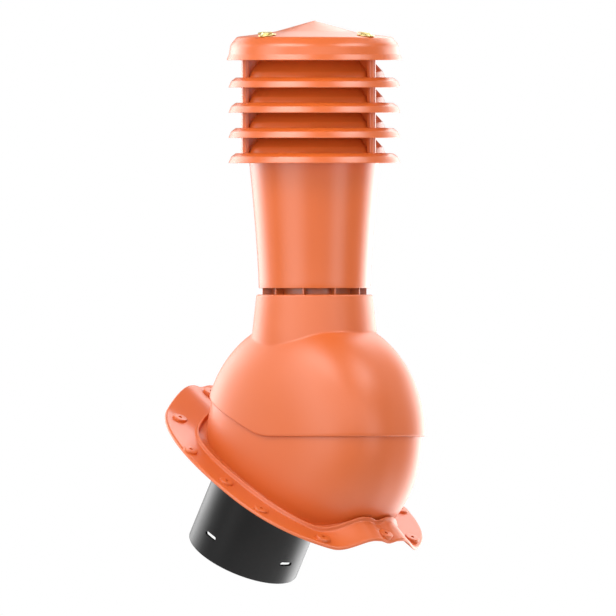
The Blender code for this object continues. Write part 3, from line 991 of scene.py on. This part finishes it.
@dataclass
class DomeShell:
    """The dome's upper shell with its round collar."""

    columns: int = 288
    outside_steps: int = 36
    collar_steps: int = 6
    bore_steps: int = 8
    inside_steps: int = 20
    rim_height: float = 0.5 * MM
    rim_rise: float = math.radians(22.7)
    rim_bend: float = 80.0 * MM
    rim_rounding: Profile = (
        (0.0, 1.7 * MM), (0.25 * MM, 0.95 * MM), (0.8 * MM, 0.35 * MM), (1.7 * MM, 0.0),
    )
    rim_span: tuple[float, float] = (-0.2, 1.2)
    junction_span: tuple[float, float] = (0.3, 1.55)
    collar_top: float = 154.3 * MM
    collar_top_radius: float = 63.0 * MM
    collar_foot: float = 110.0 * MM
    collar_foot_radius: float = 67.9 * MM
    collar_edge: float = 2.4 * MM
    fillet: float = 2.0 * MM
    fillet_steps: int = 4
    edge_steps: int = 5
    sharp_degrees: float = 50.0

    def rim(self, x: float) -> float:
        """Height of the shell's rim at a distance down the slope.

        Args:
            x: the distance from the dome's middle.

        Returns:
            The height from the dome's middle.
        """
        tangent = self.rim_bend * math.tan(self.rim_rise / 2)
        if x >= tangent:
            return self.rim_height
        far = tangent - self.rim_bend * math.sin(self.rim_rise)
        if x <= far:
            return self.rim_height - x * math.tan(self.rim_rise)
        return self.rim_height + self.rim_bend - math.sqrt(self.rim_bend**2 - (tangent - x) ** 2)

    def collar(self, height: float) -> float:
        """Outer radius of the collar at a height."""
        share = (height - self.collar_foot) / (self.collar_top - self.collar_foot)
        return mix(self.collar_foot_radius, self.collar_top_radius, max(share, 0.0))

    def junction(self, drum: Drum, azimuth: float, wall: float) -> float:
        """The elevation at which the drum meets the collar's face.

        Args:
            drum: the drum.
            azimuth: direction round the upright axis.
            wall: how far inside the collar's outer face.

        Returns:
            The elevation.
        """

        def outside(elevation: float) -> float:
            """How far the drum stands out of the collar's face at an elevation."""
            point = drum.toward(azimuth, elevation)
            return math.hypot(point.x, point.y) - (self.collar(point.z) - wall)

        return solve(outside, *self.junction_span)

    def rim_elevation(self, drum: Drum, azimuth: float) -> float:
        """The elevation at which the drum meets the rim.

        Args:
            drum: the drum.
            azimuth: direction round the upright axis.

        Returns:
            The elevation.
        """

        def below(elevation: float) -> float:
            """How far the drum lies below the rim at an elevation."""
            point = drum.toward(azimuth, elevation)
            return self.rim(point.x) - point.z

        return solve(below, *self.rim_span)

    def column(self, azimuth: float) -> Row:
        """One upright slice of the shell, from its rim over the collar and back inside.

        Args:
            azimuth: direction of the slice.

        Returns:
            The slice's points.
        """
        outer, inner = UPPER_DRUM, UPPER_DRUM.thinned(DOME_WALL)
        flat = Vector((math.cos(azimuth), math.sin(azimuth), 0.0))

        def wall_point(height: float, wall: float) -> Vector:
            """A point of the collar, inside its outer face by a wall."""
            return flat * (self.collar(height) - wall) + Vector((0, 0, height))

        rim, meet = self.rim_elevation(outer, azimuth), self.junction(outer, azimuth, 0.0)
        corner = outer.toward(azimuth, meet)
        before = meet - self.fillet / corner.length
        points = []
        for above, inward in self.rim_rounding:
            start = rim + above / outer.radius
            point = outer.toward(azimuth, start)
            points.append(point * (1 - inward / point.length))
        for step in range(1, self.outside_steps + 1):
            points.append(outer.toward(azimuth, mix(start, before, step / self.outside_steps)))
        foot = wall_point(corner.z + self.fillet, 0.0)
        points += quadratic(points[-1], corner, foot, self.fillet_steps)[1:]
        shoulder = self.collar_top - self.collar_edge
        for step in range(1, self.collar_steps + 1):
            height = mix(corner.z + self.fillet, shoulder, step / self.collar_steps)
            points.append(wall_point(height, 0.0))
        edge = wall_point(self.collar_top, 0.0)
        points += quadratic(points[-1], edge, edge - flat * self.collar_edge, self.edge_steps)[1:]
        points.append(edge - flat * (DOME_WALL - 0.1 * MM) - Vector((0, 0, 0.2 * MM)))
        inner_meet = self.junction(inner, azimuth, DOME_WALL)
        inner_corner = inner.toward(azimuth, inner_meet)
        for step in range(self.bore_steps + 1):
            height = mix(self.collar_top - 1 * MM, inner_corner.z, step / self.bore_steps)
            points.append(wall_point(height, DOME_WALL))
        inner_rim = self.rim_elevation(inner, azimuth)
        for step in range(1, self.inside_steps + 1):
            elevation = mix(inner_meet, inner_rim, step / self.inside_steps)
            points.append(inner.toward(azimuth, elevation))
        return points

    def build(self, dresser: Dresser) -> None:
        """Makes the shell.

        Args:
            dresser: dresses it.
        """
        columns = [self.column(azimuth) for azimuth in even_angles(self.columns, 0.5)]
        rows = [list(row) for row in zip(*columns)]
        skin = Mesh("dome_upper_shell", SETTING.upright()).loft(rows, loop=True)
        shell = skin.done(self.sharp_degrees)
        dresser.dress(shell, Slot.BRICK, Body.STACK, "dome_shell")
        dresser.dull(shell)


# The stack and its head


@dataclass
class NeckSleeve:
    """The ribbed sleeve between the collar and the stack pipe."""

    steps: int = 128
    radius: float = 45.5 * MM
    wall: float = 3.0 * MM
    low: float = 118.0 * MM
    top: float = 190.0 * MM
    ribs: int = 10
    rib_width: float = 2.2 * MM
    rib_split: float = 151.0 * MM
    foot_reach: float = 59.3 * MM
    pipe_reach: float = 56.6 * MM
    rib_phase: float = 0.25
    rib_root: float = 1.5 * MM
    rib_step: float = 1.0 * MM
    rib_end: float = 4.0 * MM
    rib_rounding: float = 0.5 * MM

    def build(self, dresser: Dresser) -> None:
        """Makes the sleeve.

        Args:
            dresser: dresses it.
        """
        inner = self.radius - self.wall
        corners = [
            (inner, self.low, 0.8 * MM), (self.radius, self.low, 0.8 * MM),
            (self.radius, self.top, 0.8 * MM), (inner, self.top, 0.8 * MM),
        ]
        tube = Mesh("neck_sleeve_ribbed", SETTING.upright()).turned(rounded(corners), self.steps)
        sleeve = tube.done()
        ribs = Mesh("rib_tool", SETTING.upright())
        spans = (
            (self.low + self.rib_end, self.rib_split - self.rib_step, self.foot_reach),
            (self.rib_split + self.rib_step, self.top - self.rib_end, self.pipe_reach),
        )
        half, start = self.rib_width / 2, self.radius - self.rib_root
        for angle in even_angles(self.ribs, self.rib_phase):
            turn = Matrix.Rotation(SETTING.head_turn + angle, 4, "Z")
            for low, high, reach in spans:
                outline = [
                    (start, -half, 0), (reach, -half, self.rib_rounding),
                    (reach, half, self.rib_rounding), (start, half, 0),
                ]
                ribs.prism(rounded(outline, 3), low, high, turn)
        work(sleeve, ribs.done(), Join.ADD)
        dresser.dress(sleeve, Slot.BRICK, Body.STACK, "neck_sleeve")


@dataclass
class StackPipe:
    """The flared pipe that carries the head."""

    low: float = 161.1 * MM
    low_radius: float = 60.4 * MM
    top: float = 303.0 * MM
    top_radius: float = 71.3 * MM
    flare: float = 1.35
    wall: float = 3.0 * MM
    outside_steps: int = 24
    inside_steps: int = 12

    def radius(self, height: float) -> float:
        """Outer radius of the pipe at a height."""
        share = (height - self.low) / (self.top - self.low)
        return mix(self.low_radius, self.top_radius, max(share, 0.0) ** self.flare)

    def build(self, dresser: Dresser) -> None:
        """Makes the pipe.

        Args:
            dresser: dresses it.
        """
        section = [
            (self.radius(self.low) - self.wall, self.low),
            (self.low_radius - 0.6 * MM, self.low),
            (self.low_radius - 0.15 * MM, self.low + 0.25 * MM),
        ]
        for step in range(self.outside_steps + 1):
            height = mix(self.low + 0.8 * MM, self.top, step / self.outside_steps)
            section.append((self.radius(height), height))
        for step in range(self.inside_steps + 1):
            height = mix(self.top, self.low + 1 * MM, step / self.inside_steps)
            section.append((self.radius(height) - self.wall, height))
        pipe = Mesh("stack_pipe_flared", SETTING.upright()).turned(section, TURN_STEPS).done()
        dresser.dress(pipe, Slot.BRICK, Body.STACK, "stack_pipe")


@dataclass
class LouvreHead:
    """Four louvre rings, each with a skirt, a cone and three posts."""

    count: int = 4
    steps: int = 160
    pitch: float = 27.3 * MM
    lowest: float = 296.6 * MM
    radius: float = 93.0 * MM
    band: float = 10.8 * MM
    flare: float = 2.7 * MM
    shoulder_width: float = 5.0 * MM
    neck_radius: float = 75.6 * MM
    neck_height: float = 6.2 * MM
    mouth_radius: float = 57.0 * MM
    mouth_height: float = 35.8 * MM
    wall: float = 2.5 * MM
    posts: int = 3
    post_radius: float = 80.4 * MM
    post_width: float = 10.6 * MM
    post_depth: float = 5.8 * MM
    fin_width: float = 3.4 * MM
    fin_drop: float = 1.5 * MM
    groove: float = 0.9 * MM
    groove_depth: float = 1.8 * MM
    post_root: float = 0.6 * MM
    web_width: float = 2.4 * MM
    web_inner: float = 63.0 * MM
    web_root: float = 1.0 * MM
    web_drop: float = 1.2 * MM
    web_sink: float = 0.8 * MM
    web_top: float = 0.4 * MM
    clearance: float = 0.3 * MM
    cap_ceiling: float = 429.4 * MM

    def profile(self, bottom: float) -> Profile:
        """Section of a ring, from the skirt's foot up its outside and back along its inside.

        Args:
            bottom: height of the ring's foot.

        Returns:
            The (radius, height) points.
        """
        neck = self.band + self.neck_height
        slant = Vector((self.neck_radius - self.mouth_radius, self.mouth_height - neck)).normalized()
        across = self.wall / slant.y
        under = self.band - self.wall
        corners: list[Corner] = [
            (self.radius, 0.0, 0.5 * MM),
            (self.radius, 0.8 * MM, 0.4 * MM),
            (self.radius - self.flare, 7.0 * MM, 3.0 * MM),
            (self.radius - self.flare - self.shoulder_width, self.band, 2.6 * MM),
            (self.neck_radius + 1.4 * MM, self.band, 0.8 * MM),
            (self.neck_radius - 1.4 * MM, neck + 0.2 * MM, 5.0 * MM),
            (self.mouth_radius, self.mouth_height, 0.6 * MM),
            (self.mouth_radius - across, self.mouth_height, 0.0),
            (self.neck_radius - self.wall, neck - across + self.wall, 2.0 * MM),
            (self.neck_radius - self.wall, under, 0.6 * MM),
            (self.radius - self.flare - self.wall, under, 2.0 * MM),
            (self.radius - self.wall, 0.0, 0.4 * MM),
        ]
        return [(reach, bottom + height) for reach, height in rounded(corners, 4)]

    def post_outline(self) -> Profile:
        """Section of a post: a block, a groove and a thin round-edged fin.

        Returns:
            The (outward, across) points.
        """
        inner, outer = self.post_radius - self.post_depth / 2, self.post_radius + self.post_depth / 2
        half = self.post_width / 2
        fin = half - self.fin_width
        corners = [
            (inner, -half, 0.5 * MM),
            (outer, -half, 0.9 * MM),
            (outer, fin - self.groove, 0.3 * MM),
            (outer - self.groove_depth, fin - self.groove, 0.0),
            (outer - self.groove_depth, fin, 0.0),
            (outer, fin, 0.3 * MM),
            (outer - self.fin_drop, half, 0.6 * MM),
            (inner, half, 0.5 * MM),
        ]
        return rounded(corners, 4)

    def web(self, mesh: Mesh, bottom: float, top: float, turn: Matrix) -> None:
        """Adds the web that joins a post to the cone.

        Args:
            mesh: the piece to add it to.
            bottom: height of the ring's foot.
            top: height of the post's top.
            turn: the post's direction.
        """
        neck = bottom + self.band + self.neck_height
        low, high = bottom + self.band - self.web_sink, top - self.clearance - self.web_top
        outline = [
            (self.neck_radius - self.web_root, low),
            (self.post_radius, low),
            (self.post_radius, high),
            (self.web_inner, high),
            (self.web_inner, neck + self.neck_radius - self.web_inner - self.web_drop),
            (self.neck_radius - self.web_root, neck - self.web_drop),
        ]
        stand = Matrix(((1, 0, 0, 0), (0, 0, 1, 0), (0, 1, 0, 0), (0, 0, 0, 1)))
        mesh.prism(outline, -self.web_width / 2, self.web_width / 2, turn @ stand)

    def build(self, dresser: Dresser) -> None:
        """Makes the rings.

        Args:
            dresser: dresses them.
        """
        for number in range(1, self.count + 1):
            bottom = self.lowest + (self.count - number) * self.pitch
            top = bottom + self.pitch + self.band - self.wall if number > 1 else self.cap_ceiling
            name = f"louvre_ring_{number}"
            blank = Mesh(name + "_moulding", SETTING.upright()).turned(self.profile(bottom), self.steps)
            ring = blank.done()
            posts, webs = Mesh("post_tool", SETTING.upright()), Mesh("web_tool", SETTING.upright())
            low, high = bottom + self.band - self.post_root, top - self.clearance
            for angle in even_angles(self.posts):
                turn = Matrix.Rotation(SETTING.head_turn + angle, 4, "Z")
                posts.prism(self.post_outline(), low, high, turn)
                self.web(webs, bottom, top, turn)
            work(ring, posts.done(), Join.ADD)
            work(ring, webs.done(), Join.ADD)
            dresser.dress(ring, Slot.BRICK, Body.STACK, name)


@dataclass
class RainCap:
    """The cap: a low point, a sloping ring, a round shoulder and a skirt with a flared lip."""

    lip: float = 408.1 * MM
    lip_radius: float = 95.0 * MM
    skirt_radius: float = 92.6 * MM
    skirt: float = 12.0 * MM
    shoulder_radius: float = 84.2 * MM
    shoulder_height: float = 433.4 * MM
    point_radius: float = 42.0 * MM
    point_height: float = 439.2 * MM
    ring_radius: float = 55.0 * MM
    ring_height: float = 437.1 * MM
    apex: float = 451.0 * MM
    wall: float = 2.8 * MM
    screws: int = 4
    screw_circle: float = 75.5 * MM
    screw_turn: float = math.radians(2.3)
    screw_lean: float = math.radians(7.5)
    shank_radius: float = 2.2 * MM
    clearance: float = 0.3 * MM
    bore_reach: float = 15.0 * MM
    bore_steps: int = 20
    sharp_degrees: float = 30.0

    def ceiling(self) -> float:
        """Height of the flat ring inside the cap."""
        return self.shoulder_height - self.wall - 1.6 * MM

    def profile(self) -> Profile:
        """Section of the cap, from its apex to the lip and back inside to its middle.

        Returns:
            The (radius, height) points.
        """
        corners: list[Corner] = [
            (0.0, self.apex, 0.0),
            (2.0 * MM, self.apex - 0.5 * MM, 2.0 * MM),
            (self.point_radius, self.point_height, 40 * MM),
            (self.ring_radius, self.ring_height, 20 * MM),
            (self.shoulder_radius, self.shoulder_height, 6.0 * MM),
            (self.skirt_radius - 1.4 * MM, self.lip + 16.6 * MM, 12.0 * MM),
            (self.skirt_radius + 0.2 * MM, self.lip + 6.4 * MM, 6.0 * MM),
            (self.lip_radius, self.lip + 0.9 * MM, 0.4 * MM),
            (self.lip_radius, self.lip, 0.7 * MM),
            (self.lip_radius - self.wall, self.lip, 0.7 * MM),
            (self.skirt_radius - self.wall, self.lip + 6 * MM, 2.0 * MM),
            (self.skirt_radius - 1 * MM - self.wall, self.lip + self.skirt, 4.0 * MM),
            (self.shoulder_radius - 3 * MM, self.ceiling(), 4.0 * MM),
            (self.ring_radius, self.ceiling(), 5.0 * MM),
            (0.0, self.apex - self.wall - 2 * MM, 0.0),
        ]
        return rounded(corners, 5, closed=False)

    def screw_places(self) -> list[Matrix]:
        """Where each screw stands, square to the sloping ring.

        Returns:
            A frame for each screw.
        """
        slope = (self.ring_height - self.shoulder_height) / (self.shoulder_radius - self.ring_radius)
        seat = self.shoulder_height + slope * (self.shoulder_radius - self.screw_circle)
        places = []
        for angle in even_angles(self.screws):
            turn = Matrix.Rotation(self.screw_turn + angle, 4, "Z")
            stand = Matrix.Translation((self.screw_circle, 0, seat + self.clearance))
            places.append(turn @ stand @ Matrix.Rotation(self.screw_lean, 4, "Y"))
        return places

    def build(self, dresser: Dresser) -> None:
        """Makes the cap.

        Args:
            dresser: dresses it.
        """
        blank = Mesh("rain_cap", SETTING.upright()).turned(self.profile(), TURN_STEPS, False)
        cap = blank.done(self.sharp_degrees)
        bore = self.shank_radius + self.clearance
        outline = [(bore * math.cos(a), bore * math.sin(a)) for a in even_angles(self.bore_steps)]
        holes = Mesh("cap_hole_tool", SETTING.upright())
        for place in self.screw_places():
            holes.prism(outline, -self.bore_reach, self.bore_reach, place)
        work(cap, holes.done(), Join.CUT)
        dresser.dress(cap, Slot.BRICK, Body.STACK, "cap")


@dataclass
class CapScrews:
    """Hexagon screws with wide washers, in yellow zinc."""

    cap: RainCap
    washer_radius: float = 9.6 * MM
    washer_height: float = 1.2 * MM
    hex_radius: float = 6.0 * MM
    hex_height: float = 3.6 * MM
    hex_root: float = 0.3 * MM
    shank_length: float = 4.6 * MM
    collar_height: float = 0.7 * MM
    collar_foot_share: float = 1.18
    collar_share: float = 1.1
    chamfer_depth: float = 1.1 * MM
    chamfer_share: float = 1.2
    flat_share: float = 0.86
    sides: int = 6
    steps: int = 48

    def turned(self, name: str, corners: list[Corner], stand: Matrix) -> bpy.types.Object:
        """Turns an outline round a screw's own axis."""
        return Mesh(name, stand).turned(rounded(corners, 3, False), self.steps, False).done()

    def build(self, dresser: Dresser) -> None:
        """Makes the screws.

        Args:
            dresser: dresses them.
        """
        shank = self.cap.shank_radius
        collar_top = self.washer_height + self.collar_height
        corners = [
            (0.0, -self.shank_length, 0.0),
            (shank, -self.shank_length, 0.6 * MM),
            (shank, 0.0, 0.0),
            (self.washer_radius, 0.0, 0.3 * MM),
            (self.washer_radius, self.washer_height, 0.5 * MM),
            (self.hex_radius * self.collar_foot_share, self.washer_height, 0.0),
            (self.hex_radius * self.collar_share, collar_top, 0.3 * MM),
            (0.0, collar_top, 0.0),
        ]
        reach = self.hex_radius
        outline = [(reach * math.cos(a), reach * math.sin(a)) for a in even_angles(self.sides)]
        chamfer = [
            (0.0, self.washer_height, 0.0),
            (self.hex_radius * self.chamfer_share, self.washer_height, 0.0),
            (self.hex_radius * self.chamfer_share, self.hex_height - self.chamfer_depth, 0.0),
            (self.hex_radius * self.flat_share, self.hex_height, 0.3 * MM),
            (0.0, self.hex_height, 0.0),
        ]
        for number, place in enumerate(self.cap.screw_places(), start=1):
            stand = SETTING.upright() @ place
            screw = self.turned(f"zinc_screw_{number}", corners, stand)
            foot = self.washer_height - self.hex_root
            head = Mesh("hex_tool", stand).prism(outline, foot, self.hex_height).done()
            work(head, self.turned("chamfer_tool", chamfer, stand), Join.KEEP)
            work(screw, head, Join.ADD)
            dresser.dress(screw, Slot.ZINC, Body.STACK, f"cap_screw_{number}")


# The studio


@dataclass(frozen=True)
class SoftBox:
    """A rectangular light that faces the part.

    Azimuth starts at the camera's side and runs to the right, in degrees. The spans are the angles
    that the box takes up as the part sees it, and radiance is how bright its face is.
    """

    name: str
    azimuth: float
    elevation: float
    span_across: float
    span_up: float
    radiance: float
    distance: float = 1.6
    layers: int = 3

    def side(self, span: float) -> float:
        """Length of a side that takes up a span."""
        return 2 * self.distance * math.tan(math.radians(span / 2))

    def hang(self, studio: "Studio") -> None:
        """Hangs the box in the studio, in layers that make it brightest in its middle.

        Args:
            studio: the studio, which knows the camera's side.
        """
        away = studio.facing(self.azimuth, self.elevation)
        for layer in range(self.layers):
            share = 1 - layer / self.layers
            data = bpy.data.lights.new(f"{self.name}_{layer}", "AREA")
            data.shape = "RECTANGLE"
            data.size = self.side(self.span_across) * share
            data.size_y = self.side(self.span_up) * share
            data.energy = self.radiance / self.layers * math.pi * data.size * data.size_y
            light = bpy.data.objects.new(data.name, data)
            light.location = studio.middle() + away * (self.distance + layer * MM)
            light.rotation_euler = away.to_track_quat("Z", "Y").to_euler()
            light.visible_camera = False
            bpy.context.scene.collection.objects.link(light)


@dataclass
class Studio:
    """White studio: a pale floor, soft boxes and a level camera."""

    azimuth: float = 45.0
    picture: int = 616
    scale: float = 1.083 * MM
    dome_column: float = 314.5
    dome_line: float = 437.0
    distance: float = 3.0
    light_height: float = 0.15
    floor_drop: float = 1.0
    floor_size: float = 12.0
    floor_greys: tuple[tuple[float, float, float], ...] = ((0.68, 0.68, 0.68), (0.70, 0.70, 0.70))
    surround: float = 9.0
    ambient: float = 0.35
    boxes: tuple[SoftBox, ...] = (
        SoftBox("front_fill", 2.0, 16.0, 84.0, 44.0, 1.4),
        SoftBox("left_box", -43.0, -2.0, 54.0, 40.0, 1.9),
        SoftBox("side_left_box", -98.0, -6.0, 30.0, 44.0, 0.6),
        SoftBox("mid_left_box", -61.0, 26.0, 42.0, 36.0, 2.6),
        SoftBox("high_left_box", -42.0, 50.0, 46.0, 22.0, 6.6, layers=2),
        SoftBox("low_left_box", -70.0, -26.0, 40.0, 24.0, 0.8),
        SoftBox("right_box", 47.0, 0.0, 34.0, 40.0, 2.0),
        SoftBox("high_right_box", 60.0, 49.0, 36.0, 22.0, 6.0, layers=2),
        SoftBox("back_box", 159.0, 40.0, 44.0, 40.0, 4.0),
        SoftBox("left_rim", -133.0, 10.0, 54.0, 56.0, 4.8),
        SoftBox("right_rim", 137.0, -10.0, 62.0, 76.0, 5.8),
        SoftBox("floor_glow", 0.0, -88.0, 110.0, 110.0, 0.3, distance=1.2),
    )

    def facing(self, azimuth: float, elevation: float = 0.0) -> Vector:
        """A direction seen from the part, from an azimuth that starts at the camera's side.

        Args:
            azimuth: degrees to the right of the camera.
            elevation: degrees above the level plane.

        Returns:
            The direction, of length 1.
        """
        turn = math.radians(self.azimuth + azimuth)
        rise = math.radians(elevation)
        return Vector(
            (math.sin(turn) * math.cos(rise), -math.cos(turn) * math.cos(rise), math.sin(rise))
        )

    def middle(self) -> Vector:
        """The point that the lights face."""
        return SETTING.tilt_axis() + Vector((0.0, 0.0, self.light_height))

    def camera(self) -> None:
        """Sets the level camera so that the dome's middle falls on its place in the picture."""
        right = self.facing(90.0)
        middle = self.picture / 2
        aim = SETTING.tilt_axis() + right * (middle - self.dome_column) * self.scale
        aim.z += (self.dome_line - middle) * self.scale
        data = bpy.data.cameras.new("level_camera")
        data.type = "ORTHO"
        data.ortho_scale = self.picture * self.scale
        eye = bpy.data.objects.new("level_camera", data)
        eye.location = aim + self.facing(0.0) * self.distance
        eye.rotation_euler = self.facing(0.0).to_track_quat("Z", "Y").to_euler()
        bpy.context.scene.collection.objects.link(eye)
        bpy.context.scene.camera = eye

    def backdrop(self) -> None:
        """Sets a white surround that only the camera sees, so that it sheds no light."""
        mesh = Mesh("studio_backdrop")
        bmesh.ops.create_icosphere(mesh.bm, subdivisions=4, radius=self.surround)
        surround = mesh.done()
        bench = NodeBench("white_surround")
        bench.fix("Base Color", BLACK)
        bench.fix("Specular IOR Level", 0.0)
        bench.fix("Emission Color", WHITE)
        bench.fix("Emission Strength", 1.0)
        surround.data.materials.append(bench.material)
        surround.visible_diffuse = False
        surround.visible_glossy = False
        surround.visible_transmission = False
        surround.visible_volume_scatter = False
        surround.visible_shadow = False

    def floor(self) -> None:
        """Lays the pale floor under the part."""
        half = self.floor_size / 2
        low, _ = CAD_BOX
        mesh = Mesh("studio_floor")
        corners = [(-half, -half), (half, -half), (half, half), (-half, half)]
        verts = [mesh.bm.verts.new((x, y, low[2] - self.floor_drop)) for x, y in corners]
        mesh.bm.faces.new(verts)
        floor = mesh.done()
        bench = NodeBench("pale_floor")
        bench.feed(bench.blend(bench.noise(2.0), *self.floor_greys), "Base Color")
        bench.fix("Roughness", 0.9)
        floor.data.materials.append(bench.material)

    def build(self) -> None:
        """Sets up the studio."""
        scene = bpy.context.scene
        scene.view_settings.view_transform = "Standard"
        world = bpy.data.worlds.new("studio")
        world.use_nodes = True
        background = world.node_tree.nodes["Background"]
        background.inputs["Color"].default_value = WHITE
        background.inputs["Strength"].default_value = self.ambient
        scene.world = world
        self.floor()
        self.backdrop()
        self.camera()
        for box in self.boxes:
            box.hang(self)


def main() -> None:
    """Builds every piece in order, then the studio."""
    logging.basicConfig(level=logging.INFO, format="%(message)s")
    dresser = Dresser()
    dresser.prepare()
    cap = RainCap()
    for assembly in (
        RoofBase(), ConnectorPipe(), DomeShell(), NeckSleeve(), StackPipe(), LouvreHead(), cap,
        CapScrews(cap),
    ):
        assembly.build(dresser)
    Studio().build()


if __name__ == "__main__":
    main()
